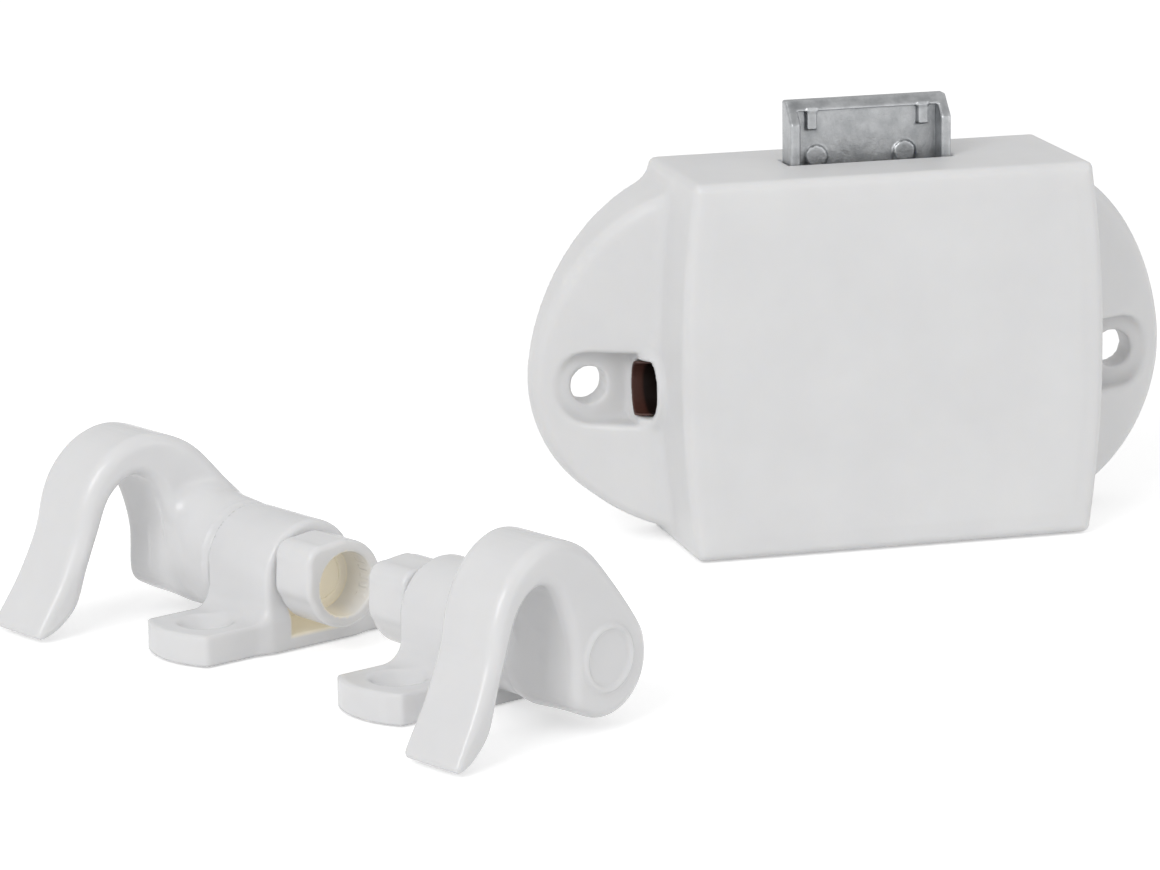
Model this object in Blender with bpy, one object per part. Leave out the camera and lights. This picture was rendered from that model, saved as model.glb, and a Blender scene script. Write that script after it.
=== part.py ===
"""Push-button latch with a rod drive and its two hook fittings, as one assembly.

The latch case stands on its lower edge: X runs from ear to ear, -Y is the closed cover, +Y is the
door side, and the bolt leaves the top. Pressing the button turns a pinion drum by a rack; the drum
draws the bolt down by two more racks and turns the rod sleeves in the side walls. Two mirrored hook
fittings stand on the same floor. Sizes are metres, written in millimetres times MM.
"""

import math

import bmesh
import bpy
from mathutils import Vector

MM = 0.001
GAP = 0.3 * MM  # running clearance between neighbouring pieces

# Case, measured across its corners; depths count from the door plane towards the cover
CASE_WIDTH = 48.2 * MM
CASE_BULGE = 2.0 * MM
CASE_HEIGHT = 45.2 * MM
CASE_DEPTH = 21.0 * MM
CASE_WALL = 1.8 * MM
CASE_CORNER = 0.9 * MM
COVER_ROUND = 1.2 * MM
COVER_CROWN = 0.15 * MM
DOOR_Y = CASE_DEPTH / 2

# Ears: widest at the rod's height, taller and straighter above it, with faces that fall to a thin rim
EAR_CENTRE_X = 20.5 * MM
EAR_CENTRE_Z = 18.7 * MM
EAR_REACH = 19.4 * MM
EAR_DROP = 18.6 * MM
EAR_RISE = 25.0 * MM
EAR_RISE_POWER = 1.8
EAR_ROOT_X = 26.0 * MM
EAR_ROOT_DEPTH = 10.0 * MM
EAR_SLOPE = 0.5
EAR_DRAFT = 0.35 * MM
EAR_ROUND = 1.1 * MM

# Rod drive: an axis along X, shared by troughs, wall holes, sleeves and drum
ROD_DEPTH = 8.1 * MM
ROD_Z = EAR_CENTRE_Z
ROD_BORE_R = 3.1 * MM
SLEEVE_R = 3.9 * MM
SLEEVE_INNER_X = 13.0 * MM
SLEEVE_SHELL_X = 26.7 * MM
SLEEVE_OUTER_X = 28.5 * MM
SHELL_LEAN = math.radians(45)
TENON_INNER_X = 7.0 * MM
TENON_FLAT_R = 2.4 * MM
TROUGH_HALF = SLEEVE_R + 0.4 * MM
TROUGH_FLOOR = 3.3 * MM
TROUGH_ROUND = 0.9 * MM
TROUGH_START_X = 25.9 * MM
TROUGH_END_X = 33.3 * MM
EAR_HOLE_X = 33.2 * MM
EAR_HOLE_R = 2.25 * MM

# Gearing: ten teeth of module 1 on the drum, three racks in step with it
MODULE = 1.0 * MM
TEETH = 10
PITCH_R = MODULE * TEETH / 2
TOOTH_PITCH = math.pi * MODULE
TOOTH_WIDTH = TOOTH_PITCH / 2 - GAP
PRESSURE = math.radians(20)
RACK_TIP = 0.6 * MM
RACK_ROOT = 1.1 * MM
GEAR_TIP_R = PITCH_R + 0.9 * MM
DRUM_R = 3.9 * MM
DRUM_HALF = 12.4 * MM

# Bolt: a cast channel open to the cover, on a fork with two rack legs
BOLT_HALF = 10.0 * MM
BOLT_BACK_DEPTH = 7.2 * MM
BOLT_FRONT_DEPTH = 11.0 * MM
BOLT_TOP_Z = 52.4 * MM
BOLT_LAND_DEPTH = 8.7 * MM
BOLT_BEVEL_Z = 50.0 * MM
BOLT_WEB = 1.4 * MM
BOLT_LIP = 1.2 * MM
BOLT_SIDE = 1.3 * MM
BOLT_POCKET_Z = 42.0 * MM
RIB_X = 6.9 * MM
RIB_HALF = 0.6 * MM
RIB_HEIGHT = 2.2 * MM
DISC_X = (-6.2 * MM, 4.8 * MM)
DISC_Z = 45.6 * MM
DISC_R = 1.3 * MM
YOKE_Z = (38.3 * MM, 43.0 * MM)
YOKE_FRONT_DEPTH = 17.8 * MM
LEG_X = (6.8 * MM, 10.0 * MM)
LEG_FRONT_DEPTH = 17.6 * MM
LEG_BOTTOM_Z = 12.0 * MM
LUG_HALF = 17.0 * MM
LUG_DEPTHS = (13.5 * MM, 17.7 * MM)
LUG_THICK = 2.7 * MM

# Bolt springs on pillars of the case
SPRING_X = 14.4 * MM
SPRING_DEPTH = 16.0 * MM
SPRING_R = 2.1 * MM
SPRING_WIRE_R = 0.35 * MM
SPRING_TURNS = 9
PILLAR_TOP_Z = 17.6 * MM
PILLAR_HALF = 2.6 * MM
PILLAR_BACK_DEPTH = 13.2 * MM
PEG_R = 1.2 * MM
PEG_HEIGHT = 3.0 * MM
GUIDE_X = (10.4 * MM, 11.5 * MM)
GUIDE_BACK_DEPTH = 13.0 * MM
GUIDE_TOP_Z = 30.4 * MM

# Button: a cup on a rack bar, guided by the collar of the back plate
BAR_HALF_X = 3.0 * MM
BAR_TOP_Z = 29.4 * MM
BAR_INNER_DEPTH = 11.0 * MM
BAR_OUTER_DEPTH = -16.5 * MM
WING_HALF_X = 5.4 * MM
WING_Z = (25.5 * MM, 29.2 * MM)
WING_FRONT_DEPTH = 4.0 * MM
SPIGOT_HALF_X = 2.0 * MM
SPIGOT_HALF_Z = 1.5 * MM
SPIGOT_LENGTH = 1.1 * MM
BUTTON_R = 9.4 * MM
BUTTON_FACE_DEPTH = -19.0 * MM
BUTTON_SKIRT_DEPTH = -8.0 * MM
BUTTON_WALL = 2.0 * MM
COLLAR_R = 11.6 * MM
COLLAR_END_DEPTH = -12.0 * MM
BUTTON_SPRING_R = 5.6 * MM
BUTTON_SPRING_WIRE_R = 0.4 * MM
BUTTON_SPRING_TURNS = 7

# Back plate and its four screws
PLATE_THICK = 1.6 * MM
SCREW_X = 19.8 * MM
SCREW_Z = (5.0 * MM, 40.2 * MM)
SCREW_PLACES = [(side * SCREW_X, z) for z in SCREW_Z for side in (-1, 1)]
SCREW_R = 1.0 * MM
SCREW_HEAD_R = 1.9 * MM
SCREW_END_DEPTH = 9.0 * MM
BOSS_R = 2.2 * MM

# Hook fittings: axis height matches the rod's distance from the door
FITTING_PLACES = {
    "left": ((-77.9 * MM, -26.2 * MM), 64.4),
    "right": ((-62.7 * MM, -55.2 * MM), 64.2),
}
AXIS_Z = ROD_DEPTH
FOOT_HALF_WIDTH = 5.55 * MM
FOOT_HALF_LENGTH = 14.6 * MM
FOOT_BULGE = 1.6 * MM
FOOT_THICK = 3.5 * MM
FOOT_HOLE_Y = 10.6 * MM
FOOT_HOLE_R = 1.7 * MM
FOOT_SINK_R = 2.7 * MM
BLOCK_R = 6.1 * MM
BLOCK_HALF_WIDTH = 5.35 * MM
BLOCK_FILLET = 1.4 * MM
POCKET_HALF = 3.2 * MM
POCKET_Z = (1.7 * MM, 5.2 * MM)
SHAFT_R = 3.6 * MM
SHAFT_END = -FOOT_HALF_WIDTH
TIP_SPIGOT_R = 2.4 * MM
TIP_SPIGOT_END = -7.0 * MM
HUB_R = 5.5 * MM
HUB_START = FOOT_HALF_WIDTH + GAP
FLARE_R = 6.0 * MM
FLARE_END = 8.0 * MM
NECK_START = 12.5 * MM
HUB_END = 17.0 * MM
HUB_END_R = 5.1 * MM
NECK_RINGS = [  # places along the axis, centres in (y, z) and radii of the neck that climbs to the bend
    (7.0 * MM, (0.0, 0.0), 5.8 * MM),
    (10.0 * MM, (-0.7 * MM, 1.9 * MM), 5.4 * MM),
    (13.5 * MM, (-1.9 * MM, 4.5 * MM), 3.9 * MM),
]
ARM_START = 14.7 * MM
ARM_END = 23.9 * MM
ARM_LEAN = 0.17  # how far the hook's slab draws in towards the bracket per length from the arm to the hub
ARM_PLUMB_Y = -18.0 * MM
ARM_ROUND = 1.1 * MM
BEAD_R = 3.4 * MM
BEAD_WIRE_R = 0.35 * MM
SOCKET_START = -(FOOT_HALF_WIDTH + GAP)
SOCKET_FLOOR = -7.2 * MM
SOCKET_END = -12.0 * MM
SOCKET_R = 4.95 * MM
SOCKET_BORE_R = 3.65 * MM
SOCKET_ROUND = 0.45 * MM
PAD_OUT = 0.3 * MM
PAD_DROP = 0.9 * MM
PAD_CORNER = 1.5 * MM


def depth(distance):
    """World Y of a point at a distance from the door plane."""
    return DOOR_Y - distance


def clear_scene():
    for item in list(bpy.data.objects):
        bpy.data.objects.remove(item, do_unlink=True)


def material(name, colour, roughness, metallic=0.0):
    made = bpy.data.materials.new(name)
    made.use_nodes = True
    shader = made.node_tree.nodes["Principled BSDF"]
    shader.inputs["Base Color"].default_value = (*colour, 1.0)
    shader.inputs["Roughness"].default_value = roughness
    shader.inputs["Metallic"].default_value = metallic
    return made


# Outlines and rings

def circle(radius, count=24, start=0.0, centre=(0.0, 0.0)):
    turn = 2 * math.pi / count
    angles = [start + turn * k for k in range(count)]
    return [(centre[0] + radius * math.cos(a), centre[1] + radius * math.sin(a)) for a in angles]


def arc(centre, radius, start_degrees, end_degrees, steps):
    step = (end_degrees - start_degrees) / steps
    angles = [math.radians(start_degrees + step * k) for k in range(steps + 1)]
    return [(centre[0] + radius * math.cos(a), centre[1] + radius * math.sin(a)) for a in angles]


def rectangle(low, high):
    return [low, (high[0], low[1]), high, (low[0], high[1])]


def along_x(outline, x):
    """A ring at x from points that hold (y, z)."""
    return [Vector((x, y, z)) for y, z in outline]


def along_y(outline, y):
    """A ring at y from points that hold (x, z)."""
    return [Vector((x, y, z)) for x, z in outline]


def along_z(outline, z):
    """A ring at z from points that hold (x, y)."""
    return [Vector((x, y, z)) for x, y in outline]


def block(low, high):
    """The two rings of a box between opposite corners."""
    outline = rectangle(low[:2], high[:2])
    return [along_z(outline, low[2]), along_z(outline, high[2])]


def depth_block(x, depths, z):
    """A box given by spans of X, of depth from the door plane and of Z."""
    return block((x[0], depth(depths[1]), z[0]), (x[1], depth(depths[0]), z[1]))


def turned_y(centre, profile, count=24):
    """Rings round a Y axis from (radius, depth) pairs."""
    return [along_y(circle(radius, count, 0.0, centre), depth(d)) for radius, d in profile]


def turned_x(profile, count=24, start=0.0):
    """Rings round the X axis from (radius, x) pairs."""
    return [along_x(circle(radius, count, start), x) for radius, x in profile]


def inset_outline(outline, distance):
    """The outline moved inwards along its corner normals; it runs anticlockwise."""
    moved = []
    for before, here, after in zip(outline[-1:] + outline[:-1], outline, outline[1:] + outline[:1]):
        tangent = (Vector(after) - Vector(before)).normalized()
        moved.append((here[0] - tangent.y * distance, here[1] + tangent.x * distance))
    return moved


def smooth_loop(points, steps):
    """A closed Catmull-Rom curve through the points."""
    curve = []
    count = len(points)
    for k in range(count):
        a, b, c, d = (Vector(points[(k + n - 1) % count]) for n in range(4))
        for step in range(steps):
            t = step / steps
            bend = 2 * a - 5 * b + 4 * c - d
            twist = 3 * b - a - 3 * c + d
            place = 0.5 * (2 * b + (c - a) * t + bend * t**2 + twist * t**3)
            curve.append((place.x, place.y))
    return curve


# Solids

def loft_into(bm, rings, closed=False):
    """Skins a row of rings, with flat end caps, or as a loop of rings without caps."""
    loops = [[bm.verts.new(point) for point in ring] for ring in rings]
    pairs = list(zip(loops, loops[1:]))
    if closed:
        pairs.append((loops[-1], loops[0]))
    faces = []
    for lower, upper in pairs:
        for k in range(len(lower)):
            n = (k + 1) % len(lower)
            faces.append(bm.faces.new((lower[k], lower[n], upper[n], upper[k])))
    if not closed:
        faces.append(bm.faces.new(loops[0]))
        faces.append(bm.faces.new(loops[-1]))
    bmesh.ops.recalc_face_normals(bm, faces=faces)


def solid(name, bodies, parent=None, origin=(0.0, 0.0, 0.0), closed=False):
    """An object of one or more lofted bodies, with its origin where the piece turns or slides."""
    bm = bmesh.new()
    for rings in bodies:
        loft_into(bm, rings, closed)
    bmesh.ops.translate(bm, verts=bm.verts, vec=-Vector(origin))
    mesh = bpy.data.meshes.new(name)
    bm.to_mesh(mesh)
    bm.free()
    mesh.shade_smooth()
    mesh.set_sharp_from_angle(angle=math.radians(35))
    made = bpy.data.objects.new(name, mesh)
    made.location = origin
    made.parent = parent
    bpy.context.collection.objects.link(made)
    return made


def combine(target, operation, bodies, closed=False):
    """Joins separate bodies to a piece, or cuts them out of it."""
    name = f"{target.name}_{operation.lower()}_{len(target.modifiers)}"
    tool = solid(name, bodies, target.parent, closed=closed)
    tool.hide_render = True
    tool.display_type = "WIRE"
    step = target.modifiers.new(tool.name, "BOOLEAN")
    step.operation = operation
    step.object = tool
    step.solver = "EXACT"


def join(target, *bodies):
    combine(target, "UNION", bodies)


def cut(target, *bodies):
    combine(target, "DIFFERENCE", bodies)


def helix(name, axis, start, end, centre, radius, wire_r, turns):
    """A coil spring of round wire along Y (axis 1) or Z (axis 2); prints its least gap between curls."""
    points_per_turn = 9
    count = turns * points_per_turn
    points = []
    for k in range(count + 1):
        angle = 2 * math.pi * k / points_per_turn
        run = start + (end - start) * k / count
        across = (centre[0] + radius * math.cos(angle), centre[1] + radius * math.sin(angle))
        points.append((across[0], run, across[1]) if axis == 1 else (across[0], across[1], run))
    curve = bpy.data.curves.new(name, "CURVE")
    curve.dimensions = "3D"
    curve.bevel_depth = wire_r
    curve.bevel_resolution = 1
    curve.use_fill_caps = True
    spline = curve.splines.new("POLY")
    spline.points.add(count)
    for point, place in zip(spline.points, points):
        point.co = (*place, 1.0)
    made = bpy.data.objects.new(name, curve)
    bpy.context.collection.objects.link(made)
    places = [Vector(place) for place in points]
    far = points_per_turn // 2
    gap = min((a - b).length for k, a in enumerate(places) for b in places[k + far:]) - 2 * wire_r
    print(f"{name}: least gap between curls {gap / MM:.2f} mm")
    return made


# Latch case

def case_outline(inset):
    """Straight top and bottom, swelling sides and round corners, in (x, z)."""
    half = CASE_WIDTH / 2 - inset
    middle = CASE_HEIGHT / 2
    reach = middle - inset - CASE_CORNER
    steps = 10
    right = arc((half - CASE_CORNER, middle - reach), CASE_CORNER, -90, 0, 4)[:-1]
    for k in range(steps + 1):
        t = 2 * k / steps - 1
        right.append((half + CASE_BULGE * (1 - t * t), middle + t * reach))
    right += arc((half - CASE_CORNER, middle + reach), CASE_CORNER, 0, 90, 4)[1:]
    return right + [(-x, CASE_HEIGHT - z) for x, z in right]


def case_shell_rings():
    rings = [(0.0, 0.0), (CASE_DEPTH - COVER_CROWN - COVER_ROUND, 0.0)]
    for degrees in (30, 60, 90):
        swing = math.radians(degrees)
        sink = COVER_CROWN + COVER_ROUND * (1 - math.sin(swing))
        rings.append((CASE_DEPTH - sink, COVER_ROUND * (1 - math.cos(swing))))
    rings.append((CASE_DEPTH, 2 * COVER_ROUND))
    return [along_y(case_outline(inset), depth(d)) for d, inset in rings]


def ear_rim(swing, inset):
    """A point (x, z) of the ear's rim; the swing counts from the rod's height upwards."""
    across = math.cos(swing)
    up = math.sin(swing)
    if up <= 0.0:
        return EAR_CENTRE_X + (EAR_REACH - inset) * across, EAR_CENTRE_Z + (EAR_DROP - inset) * up
    power = 2 / EAR_RISE_POWER
    x = EAR_CENTRE_X + (EAR_REACH - inset) * across**power
    return x, EAR_CENTRE_Z + (EAR_RISE - inset) * up**power


def ear_rings(side):
    """Rings of one ear: door face, drafted rim, round edge and sloping face."""
    rings = []
    profile = [(None, 0.0)]
    for degrees in (0, 45, 90):
        swing = math.radians(degrees)
        profile.append((EAR_ROUND * (1 - math.sin(swing)), EAR_DRAFT + EAR_ROUND * (1 - math.cos(swing))))
    for drop, inset in profile:
        ring = []
        for k in range(25):
            x, z = ear_rim(math.radians(-90 + 7.5 * k), inset)
            face = EAR_ROOT_DEPTH - EAR_SLOPE * (x - EAR_ROOT_X)
            distance = 0.0 if drop is None else face - drop
            ring.append(Vector((side * x, depth(distance), z)))
        rings.append(ring)
    return rings


def trough_rings(side):
    """The rod's open trough: a slot with a round outer end and a round floor edge."""
    rings = []
    levels = [(TROUGH_FLOOR, TROUGH_ROUND), (TROUGH_FLOOR + 0.3 * TROUGH_ROUND, 0.3 * TROUGH_ROUND)]
    levels += [(TROUGH_FLOOR + TROUGH_ROUND, 0.0), (CASE_DEPTH, 0.0)]
    for distance, inset in levels:
        radius = TROUGH_HALF - inset
        end = arc((TROUGH_END_X, ROD_Z), radius, -90, 90, 10)
        outline = [(TROUGH_START_X, ROD_Z - radius)] + end + [(TROUGH_START_X, ROD_Z + radius)]
        rings.append([Vector((side * x, depth(distance), z)) for x, z in outline])
    return rings


def make_housing():
    """The moulded case: cover, walls and both ears, open at the door side."""
    housing = solid("housing", [case_shell_rings()])
    join(housing, ear_rings(-1), ear_rings(1))
    inner = case_outline(CASE_WALL)
    front = CASE_DEPTH - CASE_WALL
    cut(housing, [along_y(inner, depth(-MM)), along_y(inner, depth(front))])
    root = front + CASE_WALL / 2
    boss = [(BOSS_R, PLATE_THICK + GAP), (BOSS_R, root)]
    bosses = [turned_y(place, boss, 16) for place in SCREW_PLACES]
    pillars = []
    guides = []
    pegs = []
    for side in (-1, 1):
        span = (side * SPRING_X - PILLAR_HALF, side * SPRING_X + PILLAR_HALF)
        pillars.append(depth_block(span, (PILLAR_BACK_DEPTH, root), (CASE_WALL / 2, PILLAR_TOP_Z)))
        span = sorted(side * x for x in GUIDE_X)
        guides.append(depth_block(span, (GUIDE_BACK_DEPTH, root), (CASE_WALL / 2, GUIDE_TOP_Z)))
        peg = circle(PEG_R, 12, 0.0, (side * SPRING_X, depth(SPRING_DEPTH)))
        pegs.append([along_z(peg, PILLAR_TOP_Z - MM), along_z(peg, PILLAR_TOP_Z + PEG_HEIGHT)])
    join(housing, *bosses, *pillars, *guides)
    join(housing, *pegs)
    cut(housing, trough_rings(-1), trough_rings(1))
    wall_hole = circle(SLEEVE_R + GAP, 32, 0.0, (depth(ROD_DEPTH), ROD_Z))
    holes = []
    for side in (-1, 1):
        inside = side * (CASE_WIDTH / 2 - 2 * CASE_WALL)
        holes.append([along_x(wall_hole, inside), along_x(wall_hole, side * SLEEVE_SHELL_X)])
        drill = [(EAR_HOLE_R, -MM), (EAR_HOLE_R, TROUGH_FLOOR + MM)]
        holes.append(turned_y((side * EAR_HOLE_X, ROD_Z), drill))
    thread = [(SCREW_R + GAP, 0.0), (SCREW_R + GAP, SCREW_END_DEPTH + MM)]
    for place in SCREW_PLACES:
        holes.append(turned_y(place, thread, 12))
    slot = (BOLT_BACK_DEPTH - GAP, BOLT_FRONT_DEPTH + GAP)
    reach = BOLT_HALF + GAP
    holes.append(depth_block((-reach, reach), slot, (YOKE_Z[1], CASE_HEIGHT + MM)))
    cut(housing, *holes)
    return housing


def make_back_plate():
    """The door-side plate that closes the case, with the collar that guides the button."""
    outline = case_outline(CASE_WALL + GAP)
    plate = solid("back_plate", [[along_y(outline, depth(0.0)), along_y(outline, depth(PLATE_THICK))]])
    centre = (0.0, button_z())
    join(plate, turned_y(centre, [(COLLAR_R, PLATE_THICK / 2), (COLLAR_R, COLLAR_END_DEPTH)], 40))
    hollow = BUTTON_R + GAP
    cut(plate, turned_y(centre, [(hollow, COLLAR_END_DEPTH - MM), (hollow, 0.0)], 40))
    window = (ROD_Z + PITCH_R - RACK_TIP - GAP, BAR_TOP_Z + GAP)
    reach = BAR_HALF_X + GAP
    holes = [depth_block((-reach, reach), (-PLATE_THICK, 2 * PLATE_THICK), window)]
    for place in SCREW_PLACES:
        sink = [(SCREW_HEAD_R + GAP + MM, -MM), (SCREW_HEAD_R + GAP, 0.0)]
        sink += [(SCREW_R + GAP, 1.1 * MM), (SCREW_R + GAP, 2 * PLATE_THICK)]
        holes.append(turned_y(place, sink, 16))
    cut(plate, *holes)
    return plate


def make_screw(number, place):
    """A countersunk screw whose head lies flush in the back plate."""
    profile = [(SCREW_HEAD_R, 0.1 * MM), (SCREW_HEAD_R, 0.3 * MM), (SCREW_R, 1.2 * MM)]
    profile += [(SCREW_R, SCREW_END_DEPTH - MM), (0.3 * SCREW_R, SCREW_END_DEPTH)]
    return solid(f"plate_screw_{number}", [turned_y(place, profile, 16)])


# Rod drive

def involute(radius):
    """How far the involute has turned at a radius, by the pressure angle there."""
    base = PITCH_R * math.cos(PRESSURE)
    angle = math.acos(min(1.0, base / radius))
    return math.tan(angle) - angle


def gear_sector(first_degrees, count):
    """Outline in (y, z) of a toothed sector about the rod axis; angles run from the cover side upwards."""
    half_at_pitch = TOOTH_WIDTH / 2 / PITCH_R + involute(PITCH_R)
    flank = [DRUM_R - 0.2 * MM, PITCH_R * math.cos(PRESSURE), PITCH_R, GEAR_TIP_R]
    outline = []
    for k in range(count):
        middle = math.radians(first_degrees) + 2 * math.pi * k / TEETH
        for radius in flank:
            swing = middle - half_at_pitch + involute(radius)
            outline.append((-radius * math.cos(swing), radius * math.sin(swing)))
        for radius in reversed(flank):
            swing = middle + half_at_pitch - involute(radius)
            outline.append((-radius * math.cos(swing), radius * math.sin(swing)))
    return outline + [(0.0, 0.0)]


def make_drum(axis):
    """Pinion drum: teeth above for the button's rack, teeth in front for the bolt's two legs."""
    drum = solid("pinion_drum", [turned_x([(DRUM_R, -DRUM_HALF), (DRUM_R, DRUM_HALF)])], axis)
    above = gear_sector(90 - 360 / TEETH, 5)
    front = gear_sector(-360 / TEETH, 5)
    overlap = 0.2 * MM
    reach = BAR_HALF_X + 2 * overlap
    sectors = [[along_x(above, -reach), along_x(above, reach)]]
    span = (LEG_X[0] - overlap, LEG_X[1] + overlap)
    for side in (-1, 1):
        sectors.append([along_x(front, side * x) for x in span])
    join(drum, *sectors)
    corner = (TENON_FLAT_R + GAP) / math.cos(math.pi / 6)
    cut(drum, turned_x([(corner, -2 * DRUM_HALF), (corner, 2 * DRUM_HALF)], 6))
    return drum


def make_sleeve(name, side, axis):
    """Rod sleeve: a journal in the wall hole, a half shell outside and a hexagonal tenon for the drum."""
    tube = turned_x([(SLEEVE_R, side * SLEEVE_INNER_X), (SLEEVE_R, side * SLEEVE_OUTER_X)], 32)
    sleeve = solid(name, [tube], axis)
    corner = TENON_FLAT_R / math.cos(math.pi / 6)
    join(sleeve, turned_x([(corner, side * TENON_INNER_X), (corner, side * (SLEEVE_INNER_X + MM))], 6))
    bore = [(ROD_BORE_R, side * (SLEEVE_INNER_X + 2 * MM)), (ROD_BORE_R, side * (SLEEVE_OUTER_X + MM))]
    cut(sleeve, turned_x(bore, 32))
    reach = 3 * SLEEVE_R
    away = (-math.cos(SHELL_LEAN), -math.sin(SHELL_LEAN))
    half = [(away[1] * reach, -away[0] * reach), (-away[1] * reach, away[0] * reach)]
    half += [(y + away[0] * reach, z + away[1] * reach) for y, z in reversed(half)]
    cut(sleeve, [along_x(half, side * SLEEVE_SHELL_X), along_x(half, side * (SLEEVE_OUTER_X + MM))])
    return sleeve


def rack_tooth(middle):
    """Offsets of one rack tooth as (along the rack, towards the gear)."""
    lean = math.tan(PRESSURE)
    half = TOOTH_WIDTH / 2
    root = half + RACK_ROOT * lean
    tip = half - RACK_TIP * lean
    rising = [(middle - root, -RACK_ROOT), (middle - tip, RACK_TIP)]
    return rising + [(middle + tip, RACK_TIP), (middle + root, -RACK_ROOT)]


# Bolt

def leg_rings(side):
    """A leg of the bolt with its rack on the door side, in step with the drum."""
    pitch_line = ROD_DEPTH + PITCH_R
    back = pitch_line + RACK_ROOT
    points = [(LEG_FRONT_DEPTH, YOKE_Z[0] + MM), (LEG_FRONT_DEPTH, LEG_BOTTOM_Z), (back, LEG_BOTTOM_Z)]
    for k in range(-1, 4):
        for z, out in rack_tooth(ROD_Z + (k + 0.5) * TOOTH_PITCH):
            points.append((pitch_line - out, z))
    points.append((back, YOKE_Z[0] + MM))
    outline = [(depth(d), z) for d, z in points]
    return [along_x(outline, side * LEG_X[0]), along_x(outline, side * LEG_X[1])]


def make_bolt():
    """The cast bolt: bevelled channel head, yoke, spring lugs and rack legs."""
    profile = [(BOLT_BACK_DEPTH, YOKE_Z[0]), (BOLT_FRONT_DEPTH, YOKE_Z[0])]
    profile += [(BOLT_FRONT_DEPTH, BOLT_BEVEL_Z), (BOLT_LAND_DEPTH, BOLT_TOP_Z)]
    profile.append((BOLT_BACK_DEPTH, BOLT_TOP_Z))
    outline = [(depth(d), z) for d, z in profile]
    head = [along_x(outline, -BOLT_HALF), along_x(outline, BOLT_HALF)]
    bolt = solid("bolt", [head], origin=(0.0, depth(BOLT_BACK_DEPTH), CASE_HEIGHT))
    inside = BOLT_HALF - BOLT_SIDE
    floor = BOLT_BACK_DEPTH + BOLT_WEB
    lip_z = BOLT_TOP_Z - BOLT_LIP
    cut(bolt, depth_block((-inside, inside), (floor, 2 * BOLT_FRONT_DEPTH), (BOLT_POCKET_Z, lip_z)))
    sink = 0.4 * MM
    trim = []
    for x in (-RIB_X, RIB_X):
        span = (x - RIB_HALF, x + RIB_HALF)
        trim.append(depth_block(span, (floor - sink, floor + MM), (lip_z - RIB_HEIGHT, lip_z + sink)))
    for x in DISC_X:
        trim.append(turned_y((x, DISC_Z), [(DISC_R, floor - sink), (DISC_R, floor + sink)]))
    join(bolt, *trim)
    inner = BOLT_HALF - 0.2 * MM
    low = YOKE_Z[0] + 0.2 * MM
    join(bolt, depth_block((-inner, inner), (floor, YOKE_FRONT_DEPTH), (low, YOKE_Z[1])))
    lug_z = YOKE_Z[0] + GAP
    join(bolt, depth_block((-LUG_HALF, LUG_HALF), LUG_DEPTHS, (lug_z, lug_z + LUG_THICK)))
    join(bolt, leg_rings(-1), leg_rings(1))
    return bolt


# Button

def button_z():
    """Height of the button's axis: the middle of the rack bar above its tooth roots."""
    return (BAR_TOP_Z + ROD_Z + PITCH_R + RACK_ROOT) / 2


def make_rack_bar():
    """The bar behind the button: rack below, stop wings inside the plate and a spigot into the cup."""
    pitch_z = ROD_Z + PITCH_R
    points = [(BAR_INNER_DEPTH, BAR_TOP_Z), (BAR_OUTER_DEPTH, BAR_TOP_Z)]
    points.append((BAR_OUTER_DEPTH, pitch_z + RACK_ROOT))
    for k in range(-3, 1):
        for d, out in rack_tooth(ROD_DEPTH + (k + 0.5) * TOOTH_PITCH):
            points.append((min(d, BAR_INNER_DEPTH), pitch_z - out))
    outline = [(depth(d), z) for d, z in points]
    middle = button_z()
    body = [along_x(outline, -BAR_HALF_X), along_x(outline, BAR_HALF_X)]
    bar = solid("rack_bar", [body], origin=(0.0, DOOR_Y, middle))
    wings = depth_block((-WING_HALF_X, WING_HALF_X), (PLATE_THICK + GAP, WING_FRONT_DEPTH), WING_Z)
    spigot = (BAR_OUTER_DEPTH - SPIGOT_LENGTH, BAR_OUTER_DEPTH + MM)
    height = (middle - SPIGOT_HALF_Z, middle + SPIGOT_HALF_Z)
    join(bar, wings, depth_block((-SPIGOT_HALF_X, SPIGOT_HALF_X), spigot, height))
    return bar


def make_button():
    """The push button: a cup with a gently domed face."""
    middle = button_z()
    centre = (0.0, middle)
    face = BUTTON_FACE_DEPTH
    profile = [(0.35 * BUTTON_R, face), (0.7 * BUTTON_R, face + 0.25 * MM)]
    profile += [(0.92 * BUTTON_R, face + 0.7 * MM), (BUTTON_R, face + 1.6 * MM)]
    profile.append((BUTTON_R, BUTTON_SKIRT_DEPTH))
    button = solid("push_button", [turned_y(centre, profile, 40)], origin=(0.0, DOOR_Y, middle))
    floor = BAR_OUTER_DEPTH - GAP
    hollow = BUTTON_R - BUTTON_WALL
    reach = SPIGOT_HALF_X + GAP
    height = (middle - SPIGOT_HALF_Z - GAP, middle + SPIGOT_HALF_Z + GAP)
    cut(button, turned_y(centre, [(hollow, floor), (hollow, 0.0)], 32))
    cut(button, depth_block((-reach, reach), (floor - SPIGOT_LENGTH, floor + MM), height))
    return button


# Hook fittings, about their own frames: side * X runs along the axis to the hook, -Y to its tip

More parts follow.
